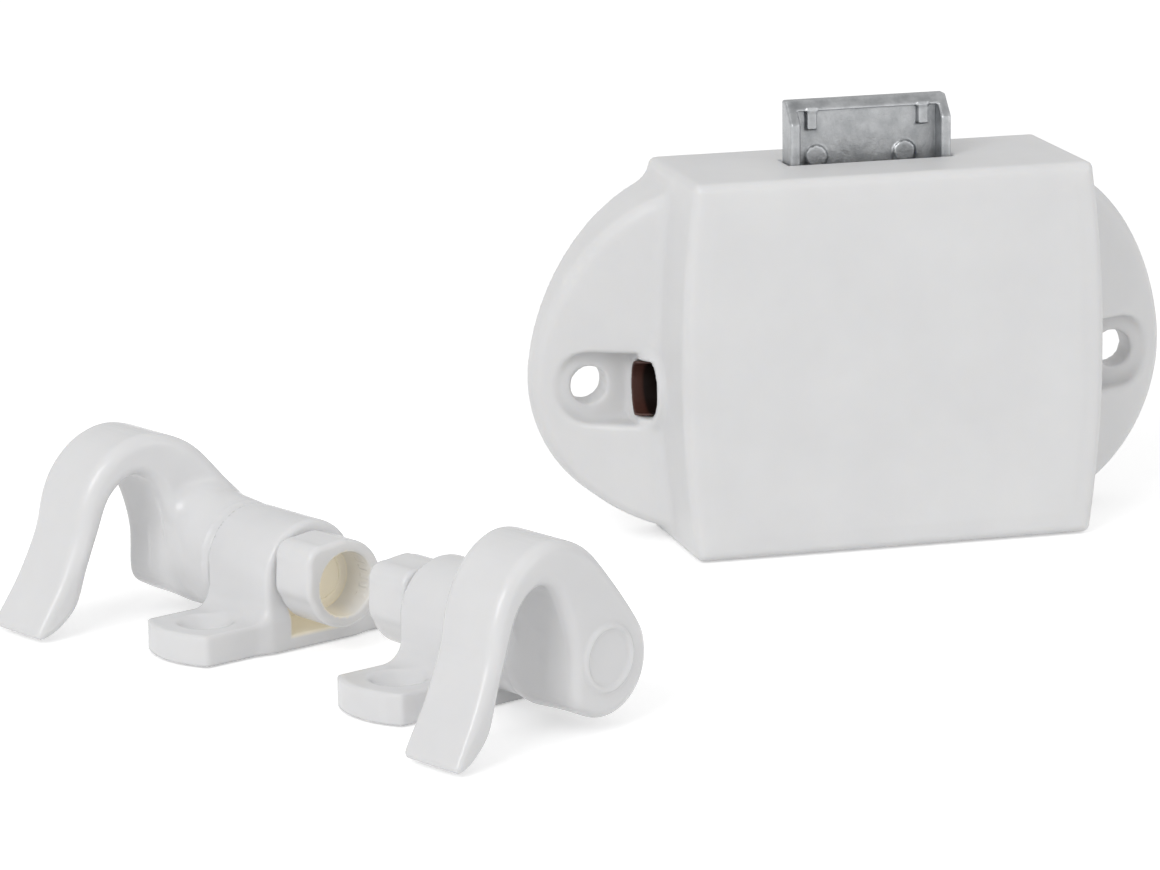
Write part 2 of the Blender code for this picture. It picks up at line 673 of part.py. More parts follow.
def make_bracket(name, side, frame):
    """Bearing bracket: screwed foot with bowed ends, and a round-topped bearing block."""
    bow = (FOOT_HALF_WIDTH**2 + FOOT_BULGE**2) / (2 * FOOT_BULGE)
    swing = math.degrees(math.asin(FOOT_HALF_WIDTH / bow))
    centre = FOOT_HALF_LENGTH + FOOT_BULGE - bow
    outline = arc((0.0, centre), bow, 90 - swing, 90 + swing, 8)
    outline += arc((0.0, -centre), bow, 270 - swing, 270 + swing, 8)
    edge = 0.5 * MM
    rings = [along_z(outline, 0.0), along_z(outline, FOOT_THICK - edge)]
    rings.append(along_z(inset_outline(outline, 0.3 * edge), FOOT_THICK - 0.3 * edge))
    rings.append(along_z(inset_outline(outline, edge), FOOT_THICK))
    bracket = solid(name, [rings], frame)
    foot_corner = (BLOCK_R + BLOCK_FILLET, FOOT_THICK + BLOCK_FILLET)
    profile = [(BLOCK_R + BLOCK_FILLET, FOOT_THICK - MM)]
    profile += arc(foot_corner, BLOCK_FILLET, 270, 180, 5)
    profile += arc((0.0, AXIS_Z), BLOCK_R, 0, 180, 20)
    profile += [(-y, z) for y, z in reversed(arc(foot_corner, BLOCK_FILLET, 270, 180, 5))]
    profile.append((-BLOCK_R - BLOCK_FILLET, FOOT_THICK - MM))
    soft = 0.5 * MM
    levels = [(BLOCK_HALF_WIDTH, soft), (BLOCK_HALF_WIDTH - 0.3 * soft, 0.3 * soft)]
    levels.append((BLOCK_HALF_WIDTH - soft, 0.0))
    levels += [(-x, inset) for x, inset in reversed(levels)]
    join(bracket, [along_x(inset_outline(profile, inset), x) for x, inset in levels])
    bore = circle(SHAFT_R + GAP, 32, 0.0, (0.0, AXIS_Z))
    holes = [[along_x(bore, -2 * FOOT_HALF_WIDTH), along_x(bore, 2 * FOOT_HALF_WIDTH)]]
    for y in (-FOOT_HOLE_Y, FOOT_HOLE_Y):
        sink = [(FOOT_HOLE_R, -MM), (FOOT_HOLE_R, FOOT_THICK - 1.2 * MM)]
        sink += [(FOOT_SINK_R, FOOT_THICK - 0.2 * MM), (FOOT_SINK_R, 2 * FOOT_THICK)]
        holes.append([along_z(circle(radius, 24, 0.0, (0.0, y)), z) for radius, z in sink])
    cut(bracket, *holes)
    inner = sorted((-side * 2 * FOOT_HALF_WIDTH, side * 0.5 * MM))
    low = (inner[0], -POCKET_HALF, POCKET_Z[0])
    cut(bracket, block(low, (inner[1], POCKET_HALF, POCKET_Z[1])))
    return bracket


def hook_outline():
    """Side view of the hook lever about its axis, in (y, z): hub, back, bend, arm, tip and inner arch."""
    hub = arc((0.0, 0.0), HUB_R, -150, 38, 8)
    bend = [(0.6, 8.0), (-3.2, 12.0), (-7.6, 13.8), (-11.4, 13.1), (-14.4, 10.6)]
    arm = [(-16.2, 7.4), (-17.4, 2.8), (-19.6, -2.2), (-22.6, -7.3)]
    tip = [(-22.1, -7.7), (-19.6, -6.8), (-17.2, -4.6), (-15.8, -0.6)]
    arch = [(-14.4, 3.2), (-12.8, 7.2), (-10.4, 9.3), (-8.2, 8.9), (-6.7, 6.0), (-5.7, 1.6)]
    return smooth_loop(hub + [(y * MM, z * MM) for y, z in bend + arm + tip + arch], 2)


def leaning(outline, x, side):
    """A ring of the hook's slab, which stands at x beside the arm and draws in towards the hub."""
    return [Vector((side * (x - ARM_LEAN * (y - ARM_PLUMB_Y)), y, z)) for y, z in outline]


def make_lever(name, side, axis):
    """Hook lever: stepped shaft through the bracket, hub, neck and curved arm with a beaded end face."""
    outline = hook_outline()
    levels = []
    for degrees in (0, 45, 90):
        swing = math.radians(degrees)
        levels.append((ARM_START + ARM_ROUND * (1 - math.cos(swing)), ARM_ROUND * (1 - math.sin(swing))))
    levels += [(ARM_START + ARM_END - x, inset) for x, inset in reversed(levels)]
    lever = solid(name, [[leaning(inset_outline(outline, inset), x, side) for x, inset in levels]], axis)
    body = [(TIP_SPIGOT_R, TIP_SPIGOT_END), (TIP_SPIGOT_R, SHAFT_END), (SHAFT_R, SHAFT_END)]
    body += [(SHAFT_R, HUB_START), (FLARE_R, HUB_START), (FLARE_R, FLARE_END)]
    body += [(HUB_R, NECK_START), (HUB_END_R, HUB_END)]
    join(lever, turned_x([(radius, side * x) for radius, x in body], 32))
    join(lever, [along_x(circle(radius, 28, 0.0, centre), side * x) for x, centre, radius in NECK_RINGS])
    bead = []
    section = circle(BEAD_WIRE_R, 6, math.pi / 6)
    for y, z in circle(1.0, 32):
        places = [(ARM_END + x, (BEAD_R + r) * y, (BEAD_R + r) * z) for r, x in section]
        bead.append([point for x, *across in places for point in leaning([across], x, side)])
    combine(lever, "UNION", [bead], closed=True)
    return lever


def make_socket(name, side, axis):
    """Rod socket on the lever's inner end: a round cup with one squared quarter on the hook's side."""
    outer = SOCKET_R + PAD_OUT
    start = 180 + math.degrees(math.asin(PAD_DROP / SOCKET_R))
    outline = arc((0.0, 0.0), SOCKET_R, start, 450, 24)
    outline += arc((PAD_CORNER - outer, SOCKET_R - PAD_CORNER), PAD_CORNER, 90, 180, 3)
    outline.append((-outer, -PAD_DROP))
    levels = [(SOCKET_START, SOCKET_ROUND), (SOCKET_START - SOCKET_ROUND, 0.0)]
    levels += [(SOCKET_END + SOCKET_ROUND, 0.0), (SOCKET_END + 0.3 * SOCKET_ROUND, 0.3 * SOCKET_ROUND)]
    levels.append((SOCKET_END, 0.8 * SOCKET_ROUND))
    rings = [along_x(inset_outline(outline, inset), side * x) for x, inset in levels]
    socket = solid(name, [rings], axis)
    hole = TIP_SPIGOT_R + GAP
    bore = [(hole, SOCKET_START + MM), (hole, SOCKET_FLOOR), (SOCKET_BORE_R, SOCKET_FLOOR)]
    bore.append((SOCKET_BORE_R, SOCKET_END - MM))
    cut(socket, turned_x([(radius, side * x) for radius, x in bore], 36))
    return socket


def empty(name, location, yaw_degrees=0.0, parent=None):
    made = bpy.data.objects.new(name, None)
    made.location = location
    made.rotation_euler = (0.0, 0.0, math.radians(yaw_degrees))
    made.parent = parent
    bpy.context.collection.objects.link(made)
    return made


def paint(made, look):
    made.data.materials.clear()
    made.data.materials.append(look)


def main():
    clear_scene()
    white = (0.86, 0.86, 0.87)
    looks = {
        "case": ("white_case_plastic", white, 0.42),
        "fitting": ("white_fitting_plastic", (0.88, 0.88, 0.89), 0.3),
        "sleeve": ("brown_sleeve_plastic", (0.13, 0.05, 0.035), 0.5),
        "drive": ("dark_gear_plastic", (0.06, 0.06, 0.065), 0.5),
        "bolt": ("cast_zinc", (0.55, 0.55, 0.56), 0.45, 1.0),
        "steel": ("bright_steel", (0.6, 0.6, 0.62), 0.3, 1.0),
    }
    looks = {key: material(*values) for key, values in looks.items()}

    paint(make_housing(), looks["case"])
    paint(make_back_plate(), looks["case"])
    for number, place in enumerate(SCREW_PLACES, 1):
        paint(make_screw(number, place), looks["steel"])
    paint(make_bolt(), looks["bolt"])
    spring_span = (PILLAR_TOP_Z + GAP + SPRING_WIRE_R, YOKE_Z[0] - SPRING_WIRE_R)
    for name, side in (("left", -1), ("right", 1)):
        place = (side * SPRING_X, depth(SPRING_DEPTH))
        wire = (SPRING_R, SPRING_WIRE_R, SPRING_TURNS)
        paint(helix(f"bolt_spring_{name}", 2, *spring_span, place, *wire), looks["steel"])

    drive_axis = empty("drive_axis", (0.0, depth(ROD_DEPTH), ROD_Z))
    paint(make_drum(drive_axis), looks["drive"])
    paint(make_sleeve("rod_sleeve_left", -1, drive_axis), looks["sleeve"])
    paint(make_sleeve("rod_sleeve_right", 1, drive_axis), looks["sleeve"])

    paint(make_rack_bar(), looks["drive"])
    paint(make_button(), looks["case"])
    outer = depth(BAR_OUTER_DEPTH) - BUTTON_SPRING_WIRE_R
    coil_span = (depth(0.0) + GAP + BUTTON_SPRING_WIRE_R, outer)
    place = (0.0, button_z())
    wire = (BUTTON_SPRING_R, BUTTON_SPRING_WIRE_R, BUTTON_SPRING_TURNS)
    paint(helix("button_spring", 1, *coil_span, place, *wire), looks["steel"])

    for name, side in (("left", -1), ("right", 1)):
        place, yaw = FITTING_PLACES[name]
        frame = empty(f"{name}_fitting", (*place, 0.0), -yaw)
        axis = empty(f"{name}_hook_axis", (0.0, 0.0, AXIS_Z), 0.0, frame)
        paint(make_bracket(f"{name}_bracket", side, frame), looks["fitting"])
        paint(make_lever(f"{name}_hook_lever", side, axis), looks["fitting"])
        paint(make_socket(f"{name}_rod_socket", side, axis), looks["fitting"])


main()
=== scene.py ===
"""Looks of the push-button latch and its two hook fittings.

Most moulded or cast pieces are smooth distance fields, meshed here with soft fillets; the pinion drum and
rack bar keep their meshes from model.glb.
millimetres in the latch's frame, or in a fitting's own frame, and the meshes are placed in metres.
"""

import math

import bpy
import numpy as np
from mathutils import Matrix, Vector


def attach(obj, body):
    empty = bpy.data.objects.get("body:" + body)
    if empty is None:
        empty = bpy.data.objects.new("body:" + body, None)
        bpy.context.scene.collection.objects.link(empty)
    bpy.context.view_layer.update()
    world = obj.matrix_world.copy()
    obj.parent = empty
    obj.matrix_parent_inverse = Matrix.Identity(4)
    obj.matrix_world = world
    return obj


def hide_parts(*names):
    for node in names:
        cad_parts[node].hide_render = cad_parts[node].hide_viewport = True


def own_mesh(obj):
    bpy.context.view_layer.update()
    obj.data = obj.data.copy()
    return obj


MM = 0.001
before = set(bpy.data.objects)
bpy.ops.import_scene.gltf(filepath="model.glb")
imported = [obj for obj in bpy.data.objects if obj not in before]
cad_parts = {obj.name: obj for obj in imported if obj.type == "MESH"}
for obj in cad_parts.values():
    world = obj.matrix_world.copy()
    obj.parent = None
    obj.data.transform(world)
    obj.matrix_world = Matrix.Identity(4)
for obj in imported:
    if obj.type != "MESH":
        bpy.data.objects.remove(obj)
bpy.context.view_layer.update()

# Case
DOOR_Y = 10.5
COVER_Y = -10.5
CASE_HALF = 24.6
CASE_BULGE = 1.5
CASE_HALF_HEIGHT = 22.6
CASE_CORNER = 0.9
CASE_WALL = 1.8
BULGE_REACH = CASE_HALF_HEIGHT - CASE_CORNER
COVER_ROUND = 1.1
COVER_BORDER = 3.0
COVER_ROLL = 0.3
COVER_LINE = 0.07
COVER_LINE_INSET = 2.6
COVER_LINE_WIDTH = 0.3
DOOR_EDGE_ROUND = 0.3
GAP = 0.3

# Inside of the case
INSIDE_ROOT_Y = COVER_Y + CASE_WALL / 2
INSIDE_ROOT_Z = CASE_WALL / 2
SCREW_PLACES = [(-19.8, 5.0), (19.8, 5.0), (-19.8, 40.2), (19.8, 40.2)]
SCREW_HOLE_R = 1.3
SCREW_HOLE_Y = 0.5
SCREW_POST_R = 2.2
SCREW_POST_Y = 8.6
SPRING_PLACE = (14.4, -5.5)
SPRING_POST_X = (11.8, 17.0)
SPRING_POST_Y = -2.7
SPRING_POST_Z = 17.6
PEG_R = 1.2
PEG_Z = (16.6, 20.6)
RIB_X = (10.4, 11.5)
RIB_Y = -2.5
RIB_Z = 30.4
BOLT_SLOT = ((-10.3, 10.3), (-0.8, 3.6), (43.0, 48.0))
BOLT_SLOT_EDGE = 0.3

# Ears
EAR_CENTRE = (20.5, 19.2)
EAR_REACH = 19.4
EAR_DROP = 18.3
EAR_RISE = 24.6
EAR_RISE_POWER = 1.8
EAR_ROOT_X = 26.0
EAR_ROOT_Y = 0.5
EAR_SLOPE = 0.5
EAR_ROUND = 1.2
EAR_DRAFT = 0.04
EAR_FILLET = 1.6
EAR_HOLE_X = 33.2
EAR_HOLE_Y = 5.4
EAR_HOLE_R = 2.25
EAR_HOLE_EDGE = 0.3

# Rod drive: the sleeve's half towards the door goes on past the other half as an open shell
ROD_Y = 2.4
ROD_Z = 18.7
SLEEVE_R = 3.9
SLEEVE_BORE_R = 3.05
SLEEVE_LIP_R = 3.35
SLEEVE_INNER_X = 13.0
SLEEVE_FLOOR_X = 15.0
SLEEVE_END_X = (26.6, 28.7)
SLEEVE_MITRE = 0.15
SLEEVE_STEP = 1.2
SLEEVE_STEP_SLOPE = 2.2
SLEEVE_ROUND = 0.12
SLEEVE_BORE_EDGE = 0.1
# From here inwards the sleeve is painted dark as painted shade, fading in over this length
SLEEVE_SHADE_X = 27.05
SLEEVE_SHADE_FADE = 0.4
TENON_HALF = 2.4
TENON_X = (7.0, 14.0)
WALL_HOLE_X = 20.5
SEAT_R = SLEEVE_LIP_R + 0.15
SEAT_X = (25.0, 27.0, 28.2)
SEAT_OPEN = 1.0
SEAT_EDGE = 0.35
BOSS_R = SEAT_R + 0.8
BOSS_ROOT = 2.0
BOSS_ROUND = 0.2
BOSS_FILLET = 1.4
TROUGH_HALF = 4.3
TROUGH_FLOOR_Y = 6.4
TROUGH_FLOOR_ROUND = 0.9
TROUGH_END_X = 33.3
TROUGH_START_ROUND = 0.3
TROUGH_EDGE = 0.8

# Button and back plate
BUTTON_Z = 27.1
BUTTON_R = 9.4
BUTTON_FACE_Y = 29.5
BUTTON_DOME = 0.5
BUTTON_ROUND = 1.3
BUTTON_RIM_Y = 18.5
BUTTON_RIM_ROUND = 0.4
BUTTON_BORE_R = 7.4
BUTTON_BORE_Y = 27.3
BUTTON_BORE_EDGE = 0.3
BAR_RECESS = ((-2.3, 2.3), (20.0, 28.4), (BUTTON_Z - 1.8, BUTTON_Z + 1.8))
BAR_SLOT = ((-3.3, 3.3), (5.0, 15.0), (22.8, 29.7))
BAR_SLOT_EDGE = 0.2
PLATE_THICK = 1.6
PLATE_ROUND = 0.25
COLLAR_MIDDLE_R = 10.65
COLLAR_HALF_WALL = 0.95
COLLAR_Y = (9.7, 22.5)
COLLAR_ROUND = 0.45
COLLAR_FILLET = 0.9
SINK_Y = 9.4
SINK_SLOPE = 0.82
SINK_EDGE = 0.15

# Screws of the back plate, each in its own frame with the head at y = 0
SCREW_R = 1.0
SCREW_SHANK_Y = (-8.1, -0.3)
SCREW_POINT_Y = (-8.9, -7.9)
SCREW_POINT_R = 0.35
SCREW_POINT_SLOPE = 0.85
SCREW_POINT_LEAN = 0.76
SCREW_POINT_BLEND = 0.2
SCREW_ROUND = 0.12
SCREW_SUNK = 0.1
THREAD_DEPTH = 0.13
THREAD_PITCH = 0.8
THREAD_START = 1.6
THREAD_FADE = 0.6
HEAD_R = 1.9
HEAD_Y = (-1.2, 0.0)
HEAD_RIM = 0.2
HEAD_SLOPE = 0.9
HEAD_DOME = 0.015
CROSS_HALF_WIDTH = 0.24
CROSS_HALF_LENGTH = 1.15
CROSS_DEPTH = 0.9
CROSS_SLOPE = 0.35
CROSS_EDGE = 0.08

# Bolt: boxes in its two halves start past the middle, so that they join there
PAST_MIDDLE = -1.0
BOLT_HALF = 10.0
BOLT_PROFILE = [(3.3, 38.3), (-0.5, 38.3), (-0.5, 50.0), (1.8, 52.4), (3.3, 52.4)]
BOLT_ROUND = 0.3
BOLT_POCKET = ((PAST_MIDDLE, 8.7), (-9.0, 1.9), (42.0, 51.2))
BOLT_POCKET_EDGE = 0.45
BOLT_LUG = ((6.3, 7.5), (0.9, 2.3), (49.0, 51.6))
BOLT_LUG_FILLET = 0.35
BOLT_YOKE = ((PAST_MIDDLE, 9.8), (-7.3, 1.9), (38.5, 43.0))
BOLT_SHOULDER = ((PAST_MIDDLE, 17.0), (-7.2, -3.0), (38.6, 41.3))
DISC_PLACES = [(-6.2, 45.6), (4.8, 45.6)]
DISC_R = 1.3
DISC_Y = (1.55, 2.4)
DISC_FILLET = 0.5
LEG_X = (6.8, BOLT_HALF)
LEG_Y = (-7.1, -3.7)
LEG_Z = (12.0, 39.3)
RACK_PITCH = math.pi
RACK_TEETH = range(-1, 4)
TOOTH_ROOT_HALF = 1.5
TOOTH_TIP_HALF = 1.0
TOOTH_TIP_Y = -2.0

# Fittings: place, turn and hand of each, and the height of its axis
FITTINGS = {"left": ((-77.9, -26.2), 64.4, -1), "right": ((-62.7, -55.2), 64.2, 1)}
AXIS_Z = 8.1

# Hook lever
HOOK_BEND = [(1.2, 8.3), (-2.7, 12.3), (-7.4, 14.0), (-11.4, 13.1), (-14.4, 10.6)]
HOOK_ARM = [(-16.2, 7.4), (-17.4, 2.8), (-19.6, -2.2), (-22.2, -6.6)]
HOOK_TIP = [(-22.4, -7.4), (-21.8, -7.8), (-19.6, -6.9), (-17.2, -4.6), (-15.8, -0.6)]
HOOK_ARCH = [(-14.4, 3.2), (-12.8, 7.2), (-10.3, 9.3), (-7.9, 8.8), (-6.3, 5.8), (-5.2, 1.4)]
HOOK_CURVE_STEPS = 6
HUB_DROP = 0.4
HUB_OUTLINE_R = 6.25
HUB_OUTLINE_ARC = (-145, 36)
HUB_OUTLINE_STEPS = 8
HUB_X = (5.62, 17.0)
HUB_TAPER_X = (12.5, 17.0)
HUB_TAPER_R = (6.1, 5.1)
HUB_ROUND = 0.15
ARM_X = (14.7, 23.9)
ARM_LEAN = (0.17, 0.1)
ARM_PLUMB_Y = -18.0
ARM_ROUND_Y = (-22.0, -17.0)
ARM_ROUND = (0.5, 1.4)
ARM_FILLET = 1.6
NECK_X = (7.0, 10.0, 13.5)
NECK_Y = (0.0, -0.7, -1.9)
NECK_Z = (0.0, 1.3, 3.7)
NECK_R = (5.8, 5.4, 3.9)
NECK_FILLET = 1.5
SHAFT_R = 3.6
SHAFT_X = (-5.55, 7.0)
PIN_R = 2.68
PIN_X = (-7.2, -5.0)
# The shaft's end past here carries a painted warm glow
PIN_SHADE_X = -6.9
RING_R = 3.4
RING_HALF = 0.35
RING_FILLET = 0.25

# Bracket
FOOT_HALF = 5.55
FOOT_BOW_Y = 5.775
FOOT_BOW_R = 10.425
FOOT_SIDE_ROUND = 0.3
FOOT_HEIGHT = 3.5
FOOT_TOP_ROUND = 0.35
FOOT_SOLE_ROUND = 0.2
FOOT_HOLES = (-10.6, 10.6)
FOOT_HOLE_R = 1.7
FOOT_HOLE_EDGE = 0.25
DISH_Z = 2.0
DISH_DEPTH = 1.6
DISH_LEAN = 0.8
BLOCK_HALF = 5.5
BLOCK_R = 6.1
BLOCK_HOOK_ROUND = 0.15
BLOCK_SOCKET_ROUND = 0.6
BLOCK_FILLET = 2.4
BEARING_R = 3.9
BEARING_EDGE = 0.3
BRACKET_POCKET = ((-11.0, 0.5), (-3.2, 3.2), (1.7, 5.2))
BRACKET_POCKET_EDGE = 0.25
# The box of the pocket that carries a painted warm glow
BRACKET_SHADE = ((-11.0, 0.7), (-3.4, 3.4), (1.6, 5.4))

# Rod socket
SOCKET_R = 4.95
SOCKET_X = (-12.0, -5.65)
SOCKET_ROUND = 0.6
SOCKET_BORE_R = 3.65
SOCKET_FLOOR_X = -7.2
SOCKET_EDGE = 0.3
SOCKET_PIN_R = 2.7
# The bore's wall that carries a painted warm glow, full near its floor
SOCKET_SHADE_R = SOCKET_BORE_R + 0.15
SOCKET_SHADE_X = -7.5
PAD_Y = -5.15
PAD_TOP = 4.85
PAD_TOP_ROUND = 1.9
PAD_FOOT = -1.2
PAD_FOOT_ROUND = 0.8
PAD_FILLET = 0.8
TICK_REACH = 40
TICK_PITCH = 16
TICK_HALF = 0.2
TICK_RISE = 0.05
TICK_HEIGHT = 0.15
TICK_X = (-11.2, -9.8)
TICK_FILLET = 0.15

# Springs
SPRING_STEPS = 28
SPRING_SIDES = 10
SPRING_CLOSED_PITCH = 2.1

# Floor, light and camera, in metres and degrees
FLOOR_HALF = 6.0
FLOOR_DROP = 0.0002
FLOOR_TONE = (0.85, 0.85, 0.85, 1.0)
FLOOR_GLOW = 0.45
SKY_LEVEL = 0.62
LAMP_AIM = (-0.03, -0.02, 0.02)
LAMP_WIDTH = 0.7
AZIMUTH = math.radians(-14.73)
ELEVATION = math.radians(13.10)
ROLL = math.radians(-0.77)
CAMERA_AIM = Vector((-40.32, -15.98, 18.03)) * MM
CAMERA_DISTANCE = 0.6163
CAMERA_LENS = 165.9
CAMERA_START = 0.01


# Distance fields: negative inside

def rounded(a, b, radius):
    """Where two fields meet, with a round outer edge."""
    outside = np.hypot(np.maximum(a + radius, 0), np.maximum(b + radius, 0))
    return np.minimum(np.maximum(a, b) + radius, 0) + outside - radius


def blend(a, b, width):
    """Both fields together, with a fillet between them."""
    share = np.clip(0.5 + 0.5 * (b - a) / width, 0, 1)
    return b + (a - b) * share - width * share * (1 - share)


def carve(a, b, width):
    """The first field without the second, with a soft edge."""
    return -blend(-a, b, width)


def span(value, low, high):
    return np.abs(value - (low + high) / 2) - (high - low) / 2


def box(x, y, z, xs, ys, zs):
    return np.maximum(np.maximum(span(x, *xs), span(y, *ys)), span(z, *zs))


def polygon(points, u, v):
    """Distance in a plane to a closed outline."""
    nearest = np.inf
    inside = False
    for (ax, ay), (bx, by) in zip(points, points[1:] + points[:1]):
        ex, ey = bx - ax, by - ay
        along = np.clip(((u - ax) * ex + (v - ay) * ey) / (ex * ex + ey * ey), 0, 1)
        nearest = np.minimum(nearest, (u - ax - ex * along) ** 2 + (v - ay - ey * along) ** 2)
        if by != ay:
            inside = inside ^ (((ay > v) != (by > v)) & (u < ax + (v - ay) * ex / (by - ay)))
    return np.where(inside, -1, 1) * np.sqrt(nearest)


def settle(field, points, step):
    """Points drawn onto a field's zero level, and the directions that leave it there."""
    nudge = 0.01
    for _ in range(4):
        x, y, z = points.T
        slope = np.stack([
            field(x + nudge, y, z) - field(x - nudge, y, z),
            field(x, y + nudge, z) - field(x, y - nudge, z),
            field(x, y, z + nudge) - field(x, y, z - nudge),
        ], 1) / (2 * nudge)
        pull = field(x, y, z) / np.maximum((slope ** 2).sum(1), 0.1)
        points = points - np.clip(pull[:, None] * slope, -step / 2, step / 2)
    return points, slope / np.maximum(np.linalg.norm(slope, axis=1), 1e-6)[:, None]


def relax(points, faces):
    """Points moved half way to the middle of their neighbours."""
    ends = np.concatenate([faces[:, [k, (k + 1) % 4]] for k in range(4)])
    ends = np.concatenate([ends, ends[:, ::-1]])
    count = len(points)
    middle = [np.bincount(ends[:, 0], points[ends[:, 1], axis], count) for axis in range(3)]
    degree = np.maximum(np.bincount(ends[:, 0], minlength=count), 1)
    return (points + np.stack(middle, 1) / degree[:, None]) / 2


def surface(field, low, high, step):
    """Points, quads and normals of a field's zero level inside a box."""
    counts = [int(math.ceil((b - a) / step)) + 1 for a, b in zip(low, high)]
    axes = [a + step * np.arange(n) for a, n in zip(low, counts)]
    value = field(axes[0][:, None, None], axes[1][None, :, None], axes[2][None, None, :])
    inside = value < 0
    total = np.zeros([n - 1 for n in counts], np.int8)
    for i in (0, 1):
        for j in (0, 1):
            for k in (0, 1):
                total += inside[i:i + counts[0] - 1, j:j + counts[1] - 1, k:k + counts[2] - 1]
    mixed = (total > 0) & (total < 8)
    cells = np.argwhere(mixed)
    number = np.full(mixed.shape, -1)
    number[mixed] = np.arange(len(cells))
    places = np.zeros((len(cells), 3))
    hits = np.zeros(len(cells))
    for axis in range(3):
        first, second = [a for a in range(3) if a != axis]
        for i in (0, 1):
            for j in (0, 1):
                start = cells.copy()
                start[:, first] += i
                start[:, second] += j
                end = start.copy()
                end[:, axis] += 1
                a = value[tuple(start.T)]
                b = value[tuple(end.T)]
                cross = (a < 0) != (b < 0)
                point = start.astype(float)
                point[:, axis] += np.where(cross, a / np.where(cross, a - b, 1), 0)
                places[cross] += point[cross]
                hits += cross
    points = np.array(low) + step * places / hits[:, None]
    faces = []
    for axis in range(3):
        u, v = (axis + 1) % 3, (axis + 2) % 3
        lower = inside.take(range(counts[axis] - 1), axis)
        edges = np.argwhere(lower != inside.take(range(1, counts[axis]), axis))
        clear = (edges[:, u] > 0) & (edges[:, v] > 0)
        clear &= (edges[:, u] < counts[u] - 1) & (edges[:, v] < counts[v] - 1)
        edges = edges[clear]
        corners = []
        for du, dv in ((0, 0), (1, 0), (1, 1), (0, 1)):
            cell = edges.copy()
            cell[:, u] -= du
            cell[:, v] -= dv
            corners.append(number[tuple(cell.T)])
        quads = np.stack(corners, 1)
        turned = ~inside[tuple(edges.T)]
        quads[turned] = quads[turned][:, ::-1]
        faces.append(quads)
    faces = np.concatenate(faces)
    points, _ = settle(field, points, step)
    points, normals = settle(field, relax(points, faces), step)
    normals = relax(normals, faces)
    return points, faces, normals / np.linalg.norm(normals, axis=1)[:, None]


def smooth_mesh(name, points, faces):
    """A smooth-shaded object from points in millimetres."""
    mesh = bpy.data.meshes.new(name)
    mesh.from_pydata((points * MM).tolist(), [], faces)
    mesh.shade_smooth()
    made = bpy.data.objects.new(name, mesh)
    bpy.context.scene.collection.objects.link(made)
    return made


def mesh_piece(name, points, faces, normals, painted_light=None):
    """An object with the normals of its field, and the places of its painted shade and glow marked."""
    made = smooth_mesh(name, points, faces.tolist())
    made.data.normals_split_custom_set_from_vertices(normals.tolist())
    # Marks where the material paints its shade and its warm glow
    if painted_light is not None:
        made.data.attributes.new("painted_light", "FLOAT", "POINT").data.foreach_set("value", painted_light)
    return made


def dress(made, body, node, look):
    """Fixes a piece to its body in place of a solid, with its material."""
    made.data.materials.clear()
    made.data.materials.append(look)
    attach(made, body)
    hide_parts(node)


# Latch fields

def case_outline(x, z):
    """The case's outline with its bulged sides, seen from the front."""
    t = np.clip((z - CASE_HALF_HEIGHT) / BULGE_REACH, -1, 1)
    across = np.abs(x) - CASE_HALF - CASE_BULGE * (1 - t * t)
    lean = np.sqrt(1 + (2 * CASE_BULGE * t / BULGE_REACH) ** 2)
    return rounded(across / lean, np.abs(z - CASE_HALF_HEIGHT) - CASE_HALF_HEIGHT, CASE_CORNER)


def ear_field(side, y, z):
    """An ear with a curved rim, whose face slopes away from the case."""
    above = z > EAR_CENTRE[1]
    power = np.where(above, EAR_RISE_POWER, 2.0)
    half = np.where(above, EAR_RISE, EAR_DROP)
    u = np.maximum(np.abs(side - EAR_CENTRE[0]) / EAR_REACH, 1e-3)
    v = np.maximum(np.abs(z - EAR_CENTRE[1]) / half, 1e-3)
    k = (u ** power + v ** power) ** (1 / power)
    slope = np.hypot(u ** (power - 1) / EAR_REACH, v ** (power - 1) / half) * k ** (1 - power)
    rim = (k - 1) / slope + EAR_DRAFT * (DOOR_Y - y)
    face = (EAR_ROOT_Y + EAR_SLOPE * (side - EAR_ROOT_X) - y) / math.sqrt(1 + EAR_SLOPE ** 2)
    return np.maximum(rounded(rim, face, EAR_ROUND), EAR_CENTRE[0] - side)


def trough_field(side, y, z):
    """The rod's open trough."""
    beyond = np.maximum(side - TROUGH_END_X, 0)
    slot = np.hypot(beyond, z - ROD_Z) - TROUGH_HALF
    slot = rounded(slot, SEAT_X[2] - side, TROUGH_START_ROUND)
    return rounded(slot, y - TROUGH_FLOOR_Y, TROUGH_FLOOR_ROUND)


def seat_field(side, y, z):
    """The hole in the case's wall and the open seat round the end of the sleeve."""
    around = np.hypot(y - ROD_Y, z - ROD_Z)
    hole = np.maximum(around - SLEEVE_R - GAP, span(side, WALL_HOLE_X, SEAT_X[0] + GAP))
    hole = np.minimum(hole, np.maximum(around - SEAT_R, span(side, SEAT_X[0], SEAT_X[2])))
    seat = np.hypot(np.maximum(y - ROD_Y, 0), z - ROD_Z) - SEAT_R
    return np.minimum(hole, np.maximum(seat, span(side, SEAT_X[1], SEAT_X[2] + SEAT_OPEN)))


